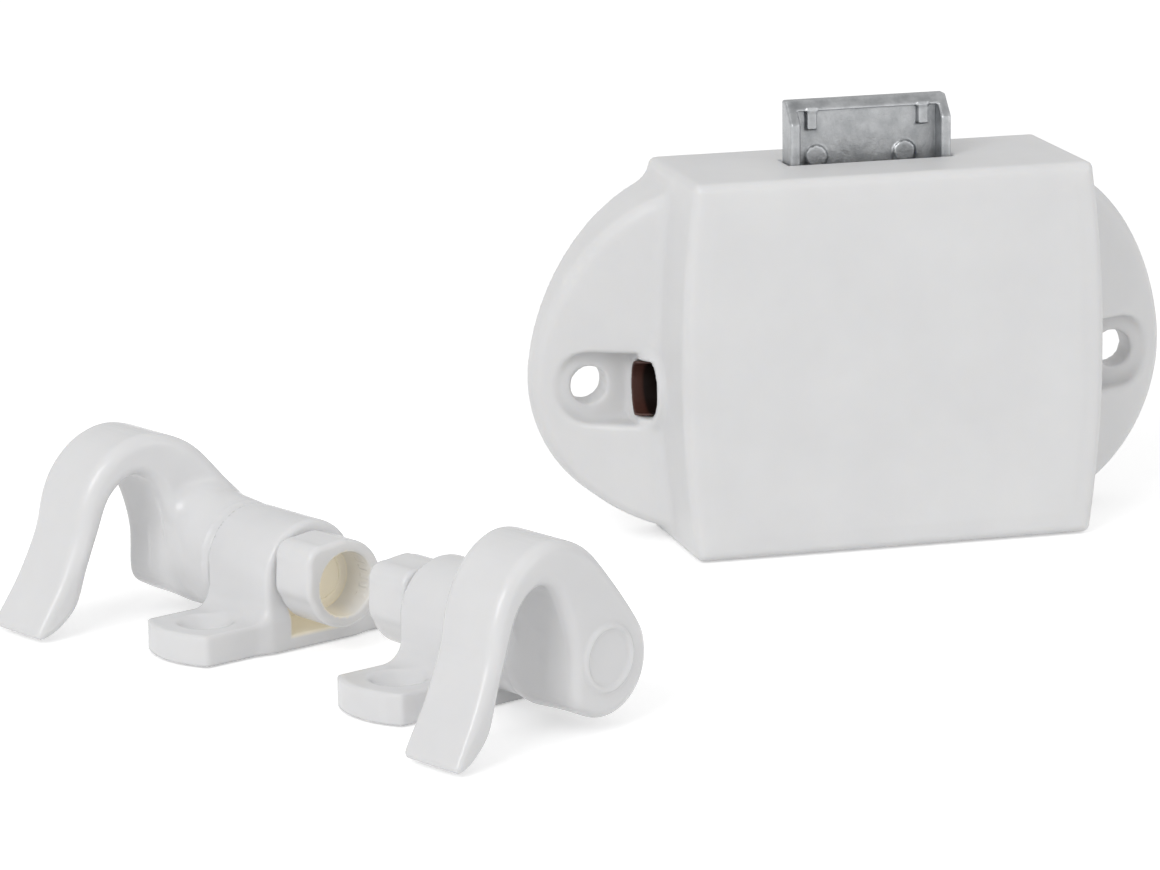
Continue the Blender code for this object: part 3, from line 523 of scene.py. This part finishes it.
def case_body(x, y, z):
    """The case with its ears and the bosses round the sleeves, with its cavity open towards the door."""
    side = np.abs(x)
    outline = case_outline(x, z)
    border = np.clip(1 + outline / COVER_BORDER, 0, 1)
    line = COVER_LINE * (0.5 + 0.5 * np.tanh((outline + COVER_LINE_INSET) / COVER_LINE_WIDTH))
    front = COVER_Y - y + COVER_ROLL * border ** 2 + line
    shell = rounded(outline, front, COVER_ROUND)
    shell = blend(shell, ear_field(side, y, z), EAR_FILLET)
    around = np.hypot(y - ROD_Y, z - ROD_Z)
    boss = rounded(around - BOSS_R, span(side, CASE_HALF - BOSS_ROOT, SEAT_X[1]), BOSS_ROUND)
    shell = blend(shell, boss, BOSS_FILLET)
    shell = np.maximum(rounded(shell, y - DOOR_Y, DOOR_EDGE_ROUND), -z)
    cavity = np.maximum(outline + CASE_WALL, COVER_Y + CASE_WALL - y)
    return np.maximum(shell, -cavity)


def screw_axis(side, z):
    """Distance to the nearer screw's axis."""
    return np.minimum(*(np.hypot(side - px, z - pz) for px, pz in SCREW_PLACES[1::2]))


def housing_field(x, y, z):
    """The case with the posts, ribs and pegs inside it and all its openings."""
    side = np.abs(x)
    shell = case_body(x, y, z)
    post = np.maximum(screw_axis(side, z) - SCREW_POST_R, span(y, INSIDE_ROOT_Y, SCREW_POST_Y))
    shell = np.minimum(shell, post)
    for xs, front, top in ((SPRING_POST_X, SPRING_POST_Y, SPRING_POST_Z), (RIB_X, RIB_Y, RIB_Z)):
        rib = box(side, y, z, xs, (INSIDE_ROOT_Y, front), (INSIDE_ROOT_Z, top))
        shell = np.minimum(shell, rib)
    peg = np.hypot(side - SPRING_PLACE[0], y - SPRING_PLACE[1]) - PEG_R
    shell = np.minimum(shell, np.maximum(peg, span(z, *PEG_Z)))
    shell = carve(shell, trough_field(side, y, z), TROUGH_EDGE)
    shell = carve(shell, seat_field(side, y, z), SEAT_EDGE)
    drill = np.maximum(np.hypot(side - EAR_HOLE_X, z - ROD_Z) - EAR_HOLE_R, EAR_HOLE_Y - y)
    shell = carve(shell, drill, EAR_HOLE_EDGE)
    shell = np.maximum(shell, -np.maximum(screw_axis(side, z) - SCREW_HOLE_R, SCREW_HOLE_Y - y))
    return carve(shell, box(x, y, z, *BOLT_SLOT), BOLT_SLOT_EDGE)


def back_plate_field(x, y, z):
    """The plate that closes the case, with the button's collar and sunk screw holes."""
    inset = case_outline(x, z) + CASE_WALL + GAP
    plate = rounded(inset, span(y, DOOR_Y - PLATE_THICK, DOOR_Y), PLATE_ROUND)
    radius = np.hypot(x, z - BUTTON_Z)
    wall = np.abs(radius - COLLAR_MIDDLE_R) - COLLAR_HALF_WALL
    plate = blend(plate, rounded(wall, span(y, *COLLAR_Y), COLLAR_ROUND), COLLAR_FILLET)
    plate = np.maximum(plate, -np.maximum(radius - BUTTON_R - GAP, DOOR_Y - y))
    plate = carve(plate, box(x, y, z, *BAR_SLOT), BAR_SLOT_EDGE)
    for px, pz in SCREW_PLACES:
        around = np.hypot(x - px, z - pz)
        sink = around - SCREW_HOLE_R - np.maximum((y - SINK_Y) * SINK_SLOPE, 0)
        plate = carve(plate, sink, SINK_EDGE)
    return plate


def button_field(x, y, z):
    """A cup with a domed face, and a recess in its floor for the rack bar."""
    radius = np.hypot(x, z - BUTTON_Z)
    face = y - BUTTON_FACE_Y + BUTTON_DOME * (radius / BUTTON_R) ** 2
    cup = rounded(radius - BUTTON_R, face, BUTTON_ROUND)
    cup = rounded(cup, BUTTON_RIM_Y - y, BUTTON_RIM_ROUND)
    bore = np.maximum(radius - BUTTON_BORE_R, y - BUTTON_BORE_Y)
    cup = carve(cup, bore, BUTTON_BORE_EDGE)
    return np.maximum(cup, -box(x, y, z, *BAR_RECESS))


def leg_outline():
    """A leg of the bolt with its rack, as (y, z) points."""
    points = [(LEG_Y[0], LEG_Z[1]), (LEG_Y[0], LEG_Z[0]), (LEG_Y[1], LEG_Z[0])]
    for k in RACK_TEETH:
        centre = ROD_Z + (k + 0.5) * RACK_PITCH
        points += [(LEG_Y[1], centre - TOOTH_ROOT_HALF), (TOOTH_TIP_Y, centre - TOOTH_TIP_HALF)]
        points += [(TOOTH_TIP_Y, centre + TOOTH_TIP_HALF), (LEG_Y[1], centre + TOOTH_ROOT_HALF)]
    return points + [(LEG_Y[1], LEG_Z[1])]


def bolt_field(x, y, z):
    """The bevelled channel with lugs and discs, on a yoke with shoulders and two racked legs."""
    side = np.abs(x)
    bolt = rounded(polygon(BOLT_PROFILE, y, z), side - BOLT_HALF, BOLT_ROUND)
    bolt = carve(bolt, box(side, y, z, *BOLT_POCKET), BOLT_POCKET_EDGE)
    bolt = blend(bolt, box(side, y, z, *BOLT_LUG), BOLT_LUG_FILLET)
    for px, pz in DISC_PLACES:
        radius = np.hypot(x - px, z - pz)
        bolt = blend(bolt, np.maximum(radius - DISC_R, span(y, *DISC_Y)), DISC_FILLET)
    for block in (BOLT_YOKE, BOLT_SHOULDER):
        bolt = np.minimum(bolt, box(side, y, z, *block))
    return np.minimum(bolt, np.maximum(polygon(leg_outline(), y, z), span(side, *LEG_X)))


def sleeve_field(x, y, z):
    """The sleeve on the +X side."""
    u, v = y - ROD_Y, z - ROD_Z
    radius = np.hypot(u, v)
    girth = np.where(x < SEAT_X[0], SLEEVE_R, SLEEVE_LIP_R)
    share = np.clip(0.5 + u / SLEEVE_STEP, 0, 1)
    share = share * share * (3 - 2 * share)
    reach = SLEEVE_END_X[1] - SLEEVE_END_X[0] - SLEEVE_MITRE * np.maximum(u, 0)
    end = x - SLEEVE_END_X[0] - reach * share
    end = end / np.where(np.abs(u) < SLEEVE_STEP / 2, SLEEVE_STEP_SLOPE, 1.0)
    tube = rounded(radius - girth, np.maximum(SLEEVE_INNER_X - x, end), SLEEVE_ROUND)
    flats = [np.abs(u * math.cos(a) + v * math.sin(a)) for a in np.radians((30, 90, 150))]
    tenon = np.maximum(np.maximum(flats[0], flats[1]), flats[2]) - TENON_HALF
    tube = np.minimum(tube, np.maximum(tenon, span(x, *TENON_X)))
    return carve(tube, np.maximum(radius - SLEEVE_BORE_R, SLEEVE_FLOOR_X - x), SLEEVE_BORE_EDGE)


def sleeve_painted_shade(x, y, z):
    """The inner part of the sleeve, where no light comes, painted dark as painted shade."""
    return np.clip((SLEEVE_SHADE_X - x) / SLEEVE_SHADE_FADE, 0, 1)


def screw_field(x, y, z):
    """A countersunk screw along +Y, with its head at y = 0 and its point below."""
    radius = np.hypot(x, z)
    turn = np.arctan2(z, x) / (2 * math.pi)
    thread = THREAD_DEPTH * np.abs(((-y / THREAD_PITCH + turn) % 1) * 2 - 1)
    fade = np.clip((-y - THREAD_START) / THREAD_FADE, 0, 1)
    shank = np.maximum(radius - SCREW_R - thread * fade, span(y, *SCREW_SHANK_Y))
    cone = radius - SCREW_POINT_R - (y - SCREW_POINT_Y[0]) * SCREW_POINT_SLOPE
    point = rounded(cone * SCREW_POINT_LEAN, span(y, *SCREW_POINT_Y), SCREW_ROUND)
    flare = np.minimum(HEAD_R, HEAD_R + (y + HEAD_RIM) * HEAD_SLOPE)
    head = np.maximum(radius - flare, span(y, *HEAD_Y))
    head = rounded(head, y + HEAD_DOME * radius ** 2, SCREW_ROUND)
    screw = np.minimum(blend(shank, point, SCREW_POINT_BLEND), head)
    tall = np.maximum(np.abs(x) - CROSS_HALF_WIDTH, np.abs(z) - CROSS_HALF_LENGTH)
    broad = np.maximum(np.abs(z) - CROSS_HALF_WIDTH, np.abs(x) - CROSS_HALF_LENGTH)
    floor = CROSS_SLOPE * radius - CROSS_DEPTH
    return carve(screw, np.maximum(np.minimum(tall, broad), floor - y), CROSS_EDGE)


# Fitting fields, in the fitting's frame, hook towards +X

def arc_points(radius, start, end, steps):
    """Points on an arc between two angles in degrees."""
    angles = np.radians(np.linspace(start, end, steps + 1))
    return [(radius * math.cos(a), radius * math.sin(a)) for a in angles]


def smooth_loop(points, steps):
    """A closed Catmull-Rom curve that passes each of the points."""
    curve = []
    count = len(points)
    for k in range(count):
        a, b, c, d = (np.array(points[(k + n - 1) % count]) for n in range(4))
        for step in range(steps):
            t = step / steps
            bend = 2 * a - 5 * b + 4 * c - d
            twist = 3 * b - a - 3 * c + d
            curve.append(tuple(0.5 * (2 * b + (c - a) * t + bend * t ** 2 + twist * t ** 3)))
    return curve


def hook_outline():
    """The hook with its hub, seen along the axis, as (y, height over the axis) points."""
    hub = arc_points(HUB_OUTLINE_R, *HUB_OUTLINE_ARC, HUB_OUTLINE_STEPS)
    hub = [(u, v - HUB_DROP) for u, v in hub]
    return smooth_loop(hub + HOOK_BEND + HOOK_ARM + HOOK_TIP + HOOK_ARCH, HOOK_CURVE_STEPS)


def lever_field(x, y, z):
    """The hook lever, whose slab leans in and thickens from the arm to the hub."""
    v = z - AXIS_Z
    radius = np.hypot(y, v)
    inner, outer = (x + lean * (y - ARM_PLUMB_Y) for lean in ARM_LEAN)
    outer = (outer - ARM_X[1]) / math.sqrt(1 + ARM_LEAN[1] ** 2)
    slab = np.maximum(outer, (ARM_X[0] - inner) / math.sqrt(1 + ARM_LEAN[0] ** 2))
    arm = rounded(polygon(hook_outline(), y, v), slab, np.interp(y, ARM_ROUND_Y, ARM_ROUND))
    taper = np.interp(x, HUB_TAPER_X, HUB_TAPER_R)
    hub = rounded(np.hypot(y, v + HUB_DROP) - taper, span(x, *HUB_X), HUB_ROUND)
    aside, height, width = (np.interp(x, NECK_X, values) for values in (NECK_Y, NECK_Z, NECK_R))
    neck = np.maximum(np.hypot(y - aside, v - height) - width, span(x, NECK_X[0], NECK_X[-1]))
    lever = blend(arm, blend(hub, neck, NECK_FILLET), ARM_FILLET)
    lever = np.minimum(lever, np.maximum(radius - SHAFT_R, span(x, *SHAFT_X)))
    lever = np.minimum(lever, np.maximum(radius - PIN_R, span(x, *PIN_X)))
    ring = np.hypot(radius - RING_R, outer) - RING_HALF
    return blend(lever, ring, RING_FILLET)


def bracket_field(x, y, z):
    """The foot with its bearing block."""
    bow = np.hypot(x, np.abs(y) - FOOT_BOW_Y) - FOOT_BOW_R
    outline = rounded(np.abs(x) - FOOT_HALF, bow, FOOT_SIDE_ROUND)
    foot = rounded(outline, z - FOOT_HEIGHT, FOOT_TOP_ROUND)
    axle = np.hypot(y, z - AXIS_Z)
    block = np.where(z > AXIS_Z, axle, np.abs(y)) - BLOCK_R
    ends = np.where(x > 0, BLOCK_HOOK_ROUND, BLOCK_SOCKET_ROUND)
    block = rounded(block, np.abs(x) - BLOCK_HALF, ends)
    bracket = rounded(blend(foot, block, BLOCK_FILLET), -z, FOOT_SOLE_ROUND)
    for place in FOOT_HOLES:
        hole = np.hypot(x, y - place) - FOOT_HOLE_R - np.clip(z - DISH_Z, 0, DISH_DEPTH)
        bracket = carve(bracket, hole * DISH_LEAN, FOOT_HOLE_EDGE)
    bracket = carve(bracket, axle - BEARING_R, BEARING_EDGE)
    return carve(bracket, box(x, y, z, *BRACKET_POCKET), BRACKET_POCKET_EDGE)


def socket_field(x, y, z):
    """The collar with a square pad on one quarter and fine ticks in its mouth."""
    v = z - AXIS_Z
    radius = np.hypot(y, v)
    pad = rounded(PAD_Y - y, v - PAD_TOP, PAD_TOP_ROUND)
    pad = rounded(np.maximum(pad, y), PAD_FOOT - v, PAD_FOOT_ROUND)
    outline = blend(radius - SOCKET_R, pad, PAD_FILLET)
    cup = rounded(outline, span(x, *SOCKET_X), SOCKET_ROUND)
    cup = carve(cup, np.maximum(radius - SOCKET_BORE_R, x - SOCKET_FLOOR_X), SOCKET_EDGE)
    turn = np.degrees(np.arctan2(v, y))
    off = np.abs((turn + TICK_REACH) % TICK_PITCH - TICK_PITCH / 2)
    tick = off * math.pi / 180 * SOCKET_BORE_R - TICK_HALF
    tick = np.maximum(tick, np.abs(radius - SOCKET_BORE_R - TICK_RISE) - TICK_HEIGHT)
    tick = np.maximum(tick, span(x, *TICK_X))
    cup = blend(cup, np.maximum(tick, np.abs(turn) - TICK_REACH), TICK_FILLET)
    return np.maximum(cup, SOCKET_PIN_R - radius)


def bracket_painted_glow(x, y, z):
    """The pocket under the bearing, which carries a painted warm glow."""
    return 1.0 * (box(x, y, z, *BRACKET_SHADE) < 0)


def lever_painted_glow(x, y, z):
    """The end of the shaft, on the floor of the socket's bore, which carries a painted warm glow."""
    return 1.0 * (x < PIN_SHADE_X)


def socket_painted_glow(x, y, z):
    """The wall of the bore on the hook's side, which carries a painted warm glow."""
    bore = np.hypot(y, z - AXIS_Z) < SOCKET_SHADE_R
    return bore * np.clip(0.5 - y / SOCKET_BORE_R + (x > SOCKET_SHADE_X), 0, 1)


# Materials

def material(name, roughness, metallic=0.0):
    made = bpy.data.materials.new(name)
    made.use_nodes = True
    shader = made.node_tree.nodes["Principled BSDF"]
    shader.inputs["Roughness"].default_value = roughness
    shader.inputs["Metallic"].default_value = metallic
    return made, made.node_tree, shader


def noise(tree, scale, detail, rough=0.55):
    place = tree.nodes.get("Texture Coordinate") or tree.nodes.new("ShaderNodeTexCoord")
    made = tree.nodes.new("ShaderNodeTexNoise")
    made.inputs["Scale"].default_value = scale
    made.inputs["Detail"].default_value = detail
    made.inputs["Roughness"].default_value = rough
    tree.links.new(place.outputs["Object"], made.inputs["Vector"])
    return made


def ramp(tree, source, stops):
    made = tree.nodes.new("ShaderNodeValToRGB")
    elements = made.color_ramp.elements
    while len(elements) < len(stops):
        elements.new(0.5)
    for element, (place, colour) in zip(elements, stops):
        element.position = place
        element.color = (*colour, 1.0)
    tree.links.new(source, made.inputs["Fac"])
    return made


def remap(tree, source, given, wanted):
    made = tree.nodes.new("ShaderNodeMapRange")
    for socket, number in zip(("From Min", "From Max", "To Min", "To Max"), (*given, *wanted)):
        made.inputs[socket].default_value = number
    tree.links.new(source, made.inputs["Value"])
    return made


def multiply(tree, a, b):
    made = tree.nodes.new("ShaderNodeMix")
    made.data_type = "RGBA"
    made.blend_type = "MULTIPLY"
    made.inputs["Factor"].default_value = 1.0
    tree.links.new(a, made.inputs["A"])
    tree.links.new(b, made.inputs["B"])
    return made.outputs["Result"]


def bump(tree, shader, source, strength, distance, before=None):
    made = tree.nodes.new("ShaderNodeBump")
    made.inputs["Strength"].default_value = strength
    made.inputs["Distance"].default_value = distance
    tree.links.new(source, made.inputs["Height"])
    if before:
        tree.links.new(before.outputs["Normal"], made.inputs["Normal"])
    tree.links.new(made.outputs["Normal"], shader.inputs["Normal"])
    return made


def moulded(name, dark, light, rough, grain, soft=0.0, painted_light=None, painted_glow_strength=0.0):
    """Moulded plastic: cloudy flow marks, fine tool grain, a touch darker in creases than on edges, and
    painted shade and glow where a piece is marked.
    """
    made, tree, shader = material(name, rough[0])
    clouds = noise(tree, scale=90.0, detail=3.0)
    tone = ramp(tree, clouds.outputs["Fac"], [(0.3, dark), (0.7, light)])
    geometry = tree.nodes.new("ShaderNodeNewGeometry")
    edges = ramp(tree, geometry.outputs["Pointiness"], [
        (0.4, (0.955, 0.955, 0.95)), (0.5, (0.99, 0.99, 0.99)), (0.56, (1.0, 1.0, 1.0)),
    ])
    colour = multiply(tree, tone.outputs["Color"], edges.outputs["Color"])
    # Painted light: in marked places the colour is tinted towards the given one, painted shade on the sleeve
    # and a painted warm tone on the fittings
    if painted_light:
        marked = tree.nodes.new("ShaderNodeAttribute")
        marked.attribute_name = "painted_light"
        tint = ramp(tree, marked.outputs["Fac"], [(0.0, (1.0, 1.0, 1.0)), (1.0, painted_light)])
        colour = multiply(tree, colour, tint.outputs["Color"])
        # Painted glow: marked places give off light in that colour, though they are no lamp
        glow = remap(tree, marked.outputs["Fac"], (0.0, 1.0), (0.0, painted_glow_strength))
        tree.links.new(glow.outputs["Result"], shader.inputs["Emission Strength"])
        shader.inputs["Emission Color"].default_value = (*painted_light, 1.0)
    tree.links.new(colour, shader.inputs["Base Color"])
    rubbed = noise(tree, scale=260.0, detail=4.0)
    gloss = remap(tree, rubbed.outputs["Fac"], (0.3, 0.7), rough)
    tree.links.new(gloss.outputs["Result"], shader.inputs["Roughness"])
    coarse = bump(tree, shader, clouds.outputs["Fac"], strength=0.06, distance=0.0006)
    fine = noise(tree, scale=2600.0, detail=2.0)
    bump(tree, shader, fine.outputs["Fac"], strength=grain, distance=0.00008, before=coarse)
    if soft:
        shader.inputs["Subsurface Weight"].default_value = soft
        shader.inputs["Subsurface Radius"].default_value = (0.002, 0.0018, 0.0015)
        shader.inputs["Subsurface Scale"].default_value = 1.0
    return made


def cast_metal(name, dark, light, rough, pits):
    """Bare metal: cloudy tone and gloss, bright edges, dull corners and fine pits."""
    made, tree, shader = material(name, rough[0], metallic=1.0)
    clouds = noise(tree, scale=420.0, detail=6.0, rough=0.65)
    tone = ramp(tree, clouds.outputs["Fac"], [(0.32, dark), (0.68, light)])
    geometry = tree.nodes.new("ShaderNodeNewGeometry")
    edges = ramp(tree, geometry.outputs["Pointiness"], [
        (0.42, (0.5, 0.51, 0.52)), (0.5, (0.78, 0.78, 0.78)), (0.57, (1.0, 1.0, 1.0)),
    ])
    colour = multiply(tree, tone.outputs["Color"], edges.outputs["Color"])
    tree.links.new(colour, shader.inputs["Base Color"])
    gloss = remap(tree, clouds.outputs["Fac"], (0.3, 0.7), rough)
    tree.links.new(gloss.outputs["Result"], shader.inputs["Roughness"])
    grain = noise(tree, scale=1700.0, detail=5.0, rough=0.7)
    bump(tree, shader, grain.outputs["Fac"], strength=pits, distance=0.00012)
    return made


CASE = moulded("white_case", dark=(0.775, 0.775, 0.78), light=(0.81, 0.81, 0.812),
               rough=(0.36, 0.46), grain=0.1, soft=0.3)
# The fittings' marked bore, pocket and shaft end get a painted warm tone and a painted glow
FITTING = moulded("white_fitting", dark=(0.765, 0.765, 0.773), light=(0.805, 0.805, 0.81),
                  rough=(0.2, 0.265), grain=0.03, soft=0.2, painted_light=(1.0, 0.93, 0.76), painted_glow_strength=0.17)
# The sleeve's inner part is painted near black as painted shade
SLEEVE = moulded("brown_sleeve", dark=(0.06, 0.022, 0.016), light=(0.11, 0.042, 0.03),
                 rough=(0.35, 0.5), grain=0.2, painted_light=(0.12, 0.14, 0.15))
GEAR = moulded("dark_gear", dark=(0.02, 0.02, 0.021), light=(0.035, 0.035, 0.037),
               rough=(0.4, 0.5), grain=0.2)
ZINC = cast_metal("cast_zinc", dark=(0.47, 0.485, 0.5), light=(0.76, 0.775, 0.79),
                  rough=(0.28, 0.44), pits=0.6)
STEEL = cast_metal("bright_steel", dark=(0.55, 0.55, 0.56), light=(0.66, 0.66, 0.67),
                   rough=(0.19, 0.265), pits=0.12)


# Latch pieces, each meshed inside a box that holds it

def latch_piece(name, field, low, high, step, body, look):
    shape = surface(field, low, high, step)
    dress(mesh_piece(name + "_look", *shape), body, name, look)


latch_piece("housing", housing_field, (-41, -11.5, -1), (41, 11.5, 46.5), 0.42,
            "latch_case", CASE)
latch_piece("back_plate", back_plate_field, (-25, 8, 1), (25, 23.5, 45), 0.4,
            "latch_case", CASE)
latch_piece("push_button", button_field, (-10.5, 17.5, 16.5), (10.5, 30.5, 37.7), 0.35,
            "button", CASE)
latch_piece("bolt", bolt_field, (-18, -8.2, 11), (18, 4.3, 53.4), 0.24,
            "bolt", ZINC)

points, faces, normals = surface(sleeve_field, (6, -2.5, 13.8), (29.8, 7.3, 23.6), 0.17)
# The sleeve's inner part is marked for painted shade
shade = sleeve_painted_shade(*points.T)
mirror = np.array([-1, 1, 1])
dress(mesh_piece("rod_sleeve_right_look", points, faces, normals, shade), "drive",
      "rod_sleeve_right", SLEEVE)
dress(mesh_piece("rod_sleeve_left_look", points * mirror, faces[:, ::-1], normals * mirror, shade), "drive",
      "rod_sleeve_left", SLEEVE)

points, faces, normals = surface(screw_field, (-2.3, -9.2, -2.3), (2.3, 0.5, 2.3), 0.1)
for number, (px, pz) in enumerate(SCREW_PLACES, 1):
    place = points + np.array([px, DOOR_Y - SCREW_SUNK, pz])
    dress(mesh_piece(f"plate_screw_{number}_look", place, faces, normals), "latch_case",
          f"plate_screw_{number}", STEEL)

for node in ("pinion_drum", "rack_bar"):
    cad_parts[node].data.materials.clear()
    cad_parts[node].data.materials.append(GEAR)


# Springs

def coil_path(centre, radius, wire, start, end, turns, axis):
    """The middle of a spring's wire, with a closed turn at each end."""
    path = []
    for k in range((turns + 2) * SPRING_STEPS + 1):
        turn = k / SPRING_STEPS
        rise = np.clip((turn - 1) / turns, 0, 1)
        closed = min(turn, 1) + max(turn - 1 - turns, 0)
        pitch = SPRING_CLOSED_PITCH * wire
        run = start + pitch * closed + (end - start - 2 * pitch) * rise
        angle = 2 * math.pi * turn
        u, v = centre[0] + radius * math.cos(angle), centre[1] + radius * math.sin(angle)
        path.append((u, run, v) if axis == 1 else (u, v, run))
    return np.array(path)


def coil(name, centre, radius, wire, start, end, turns, axis):
    """A compression spring along the given axis, swept round its wire."""
    path = coil_path(centre, radius, wire, start, end, turns, axis)
    ahead = np.gradient(path, axis=0)
    ahead /= np.linalg.norm(ahead, axis=1)[:, None]
    middle = path.copy()
    middle[:, [0, 2] if axis == 1 else [0, 1]] = centre
    out = path - middle
    out -= (out * ahead).sum(1)[:, None] * ahead
    out /= np.linalg.norm(out, axis=1)[:, None]
    across = np.cross(ahead, out)
    rings = []
    for k in range(SPRING_SIDES):
        angle = 2 * math.pi * k / SPRING_SIDES
        rings.append(path + wire * (math.cos(angle) * out + math.sin(angle) * across))
    points = np.stack(rings, 1).reshape(-1, 3)
    faces = []
    last = (len(path) - 1) * SPRING_SIDES
    for near in range(0, last, SPRING_SIDES):
        far = near + SPRING_SIDES
        for s in range(SPRING_SIDES):
            n = (s + 1) % SPRING_SIDES
            faces.append((near + s, near + n, far + n, far + s))
    faces.append(tuple(reversed(range(SPRING_SIDES))))
    faces.append(tuple(last + s for s in range(SPRING_SIDES)))
    return smooth_mesh(name, points, faces)


for name, side in (("left", -1), ("right", 1)):
    spring = coil(f"bolt_spring_{name}_look", (side * SPRING_PLACE[0], SPRING_PLACE[1]),
                  radius=2.1, wire=0.35, start=18.3, end=37.9, turns=8, axis=2)
    dress(spring, "latch_case", f"bolt_spring_{name}", STEEL)
    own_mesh(spring)
spring = coil("button_spring_look", (0.0, BUTTON_Z),
              radius=5.6, wire=0.4, start=11.25, end=26.55, turns=6, axis=1)
dress(spring, "latch_case", "button_spring", STEEL)
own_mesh(spring)


# Hook fittings

# Each fitting piece with the mask of its painted warm glow
fitting_shapes = {
    "bracket": (surface(bracket_field, (-6.5, -17.2, -1), (6.5, 17.2, 15.2), 0.3), "fitting", bracket_painted_glow),
    "hook_lever": (surface(lever_field, (-8, -24, -1), (26, 8, 23.5), 0.3), "lever", lever_painted_glow),
    "rod_socket": (surface(socket_field, (-12.8, -6.4, 2), (-5, 6, 14.2), 0.2), "lever", socket_painted_glow),
}
for name, (place, yaw, side) in FITTINGS.items():
    turn = np.array(Matrix.Rotation(math.radians(-yaw), 3, "Z"))
    hand = np.array([side, 1, 1])
    for part, ((points, faces, normals), body, painted_light) in fitting_shapes.items():
        placed = points * hand @ turn.T + np.array([*place, 0.0])
        order = faces if side > 0 else faces[:, ::-1]
        made = mesh_piece(f"{name}_{part}_look", placed, order, normals * hand @ turn.T, painted_light(*points.T))
        dress(made, f"{name}_{body}", f"{name}_{part}", FITTING)


# Floor, light and camera

def either_ray(tree, first, second):
    """1 for rays of either kind, and 0 for all others."""
    rays = tree.nodes.new("ShaderNodeLightPath")
    made = tree.nodes.new("ShaderNodeMath")
    made.operation = "MAXIMUM"
    tree.links.new(rays.outputs[first], made.inputs[0])
    tree.links.new(rays.outputs[second], made.inputs[1])
    return made.outputs[0]


def floor_material():
    """A pale floor that is white where it is seen, and still takes a shadow."""
    made = bpy.data.materials.new("pale_floor")
    made.use_nodes = True
    tree = made.node_tree
    tree.nodes.clear()
    out = tree.nodes.new("ShaderNodeOutputMaterial")
    matte = tree.nodes.new("ShaderNodeBsdfDiffuse")
    matte.inputs["Color"].default_value = FLOOR_TONE
    glow = tree.nodes.new("ShaderNodeEmission")
    seen = either_ray(tree, "Is Camera Ray", "Is Glossy Ray")
    lift = remap(tree, seen, (0.0, 1.0), (0.0, FLOOR_GLOW))
    tree.links.new(lift.outputs["Result"], glow.inputs["Strength"])
    both = tree.nodes.new("ShaderNodeAddShader")
    tree.links.new(matte.outputs[0], both.inputs[0])
    tree.links.new(glow.outputs[0], both.inputs[1])
    tree.links.new(both.outputs[0], out.inputs["Surface"])
    return made


floor_mesh = bpy.data.meshes.new("floor")
corners = [(FLOOR_HALF * u, FLOOR_HALF * v, 0) for u, v in ((-1, -1), (1, -1), (1, 1), (-1, 1))]
floor_mesh.from_pydata(corners, [], [(0, 1, 2, 3)])
floor = bpy.data.objects.new("floor", floor_mesh)
floor.location.z = -FLOOR_DROP
floor_mesh.materials.append(floor_material())
bpy.context.scene.collection.objects.link(floor)

world = bpy.data.worlds.new("studio")
bpy.context.scene.world = world
world.use_nodes = True
tree = world.node_tree
sky = tree.nodes["Background"]
sky.inputs["Color"].default_value = (1.0, 1.0, 1.0, 1.0)
seen = either_ray(tree, "Is Camera Ray", "Is Transmission Ray")
level = remap(tree, seen, (0.0, 1.0), (SKY_LEVEL, 1.0))
tree.links.new(level.outputs["Result"], sky.inputs["Strength"])


def lamp(name, place, power):
    data = bpy.data.lights.new(name, "AREA")
    data.energy = power
    data.size = LAMP_WIDTH
    made = bpy.data.objects.new(name, data)
    made.location = place
    made.rotation_euler = (Vector(LAMP_AIM) - Vector(place)).to_track_quat("-Z", "Y").to_euler()
    bpy.context.scene.collection.objects.link(made)


lamp("key", (-0.92, -0.86, 0.82), power=7.0)
lamp("fill", (0.8, -0.9, 0.5), power=1.5)

back = Vector((
    math.sin(AZIMUTH) * math.cos(ELEVATION),
    -math.cos(AZIMUTH) * math.cos(ELEVATION),
    math.sin(ELEVATION),
))
right = (-back).cross(Vector((0, 0, 1))).normalized()
up = right.cross(-back)
across = right * math.cos(ROLL) + up * math.sin(ROLL)
upright = up * math.cos(ROLL) - right * math.sin(ROLL)
view = bpy.data.cameras.new("camera")
view.lens = CAMERA_LENS
view.clip_start = CAMERA_START
camera = bpy.data.objects.new("camera", view)
pose = Matrix((across, upright, back)).transposed().to_4x4()
pose.translation = CAMERA_AIM + back * CAMERA_DISTANCE
camera.matrix_world = pose
bpy.context.scene.collection.objects.link(camera)
bpy.context.scene.camera = camera
bpy.context.scene.view_settings.view_transform = "Standard"

bpy.context.view_layer.update()
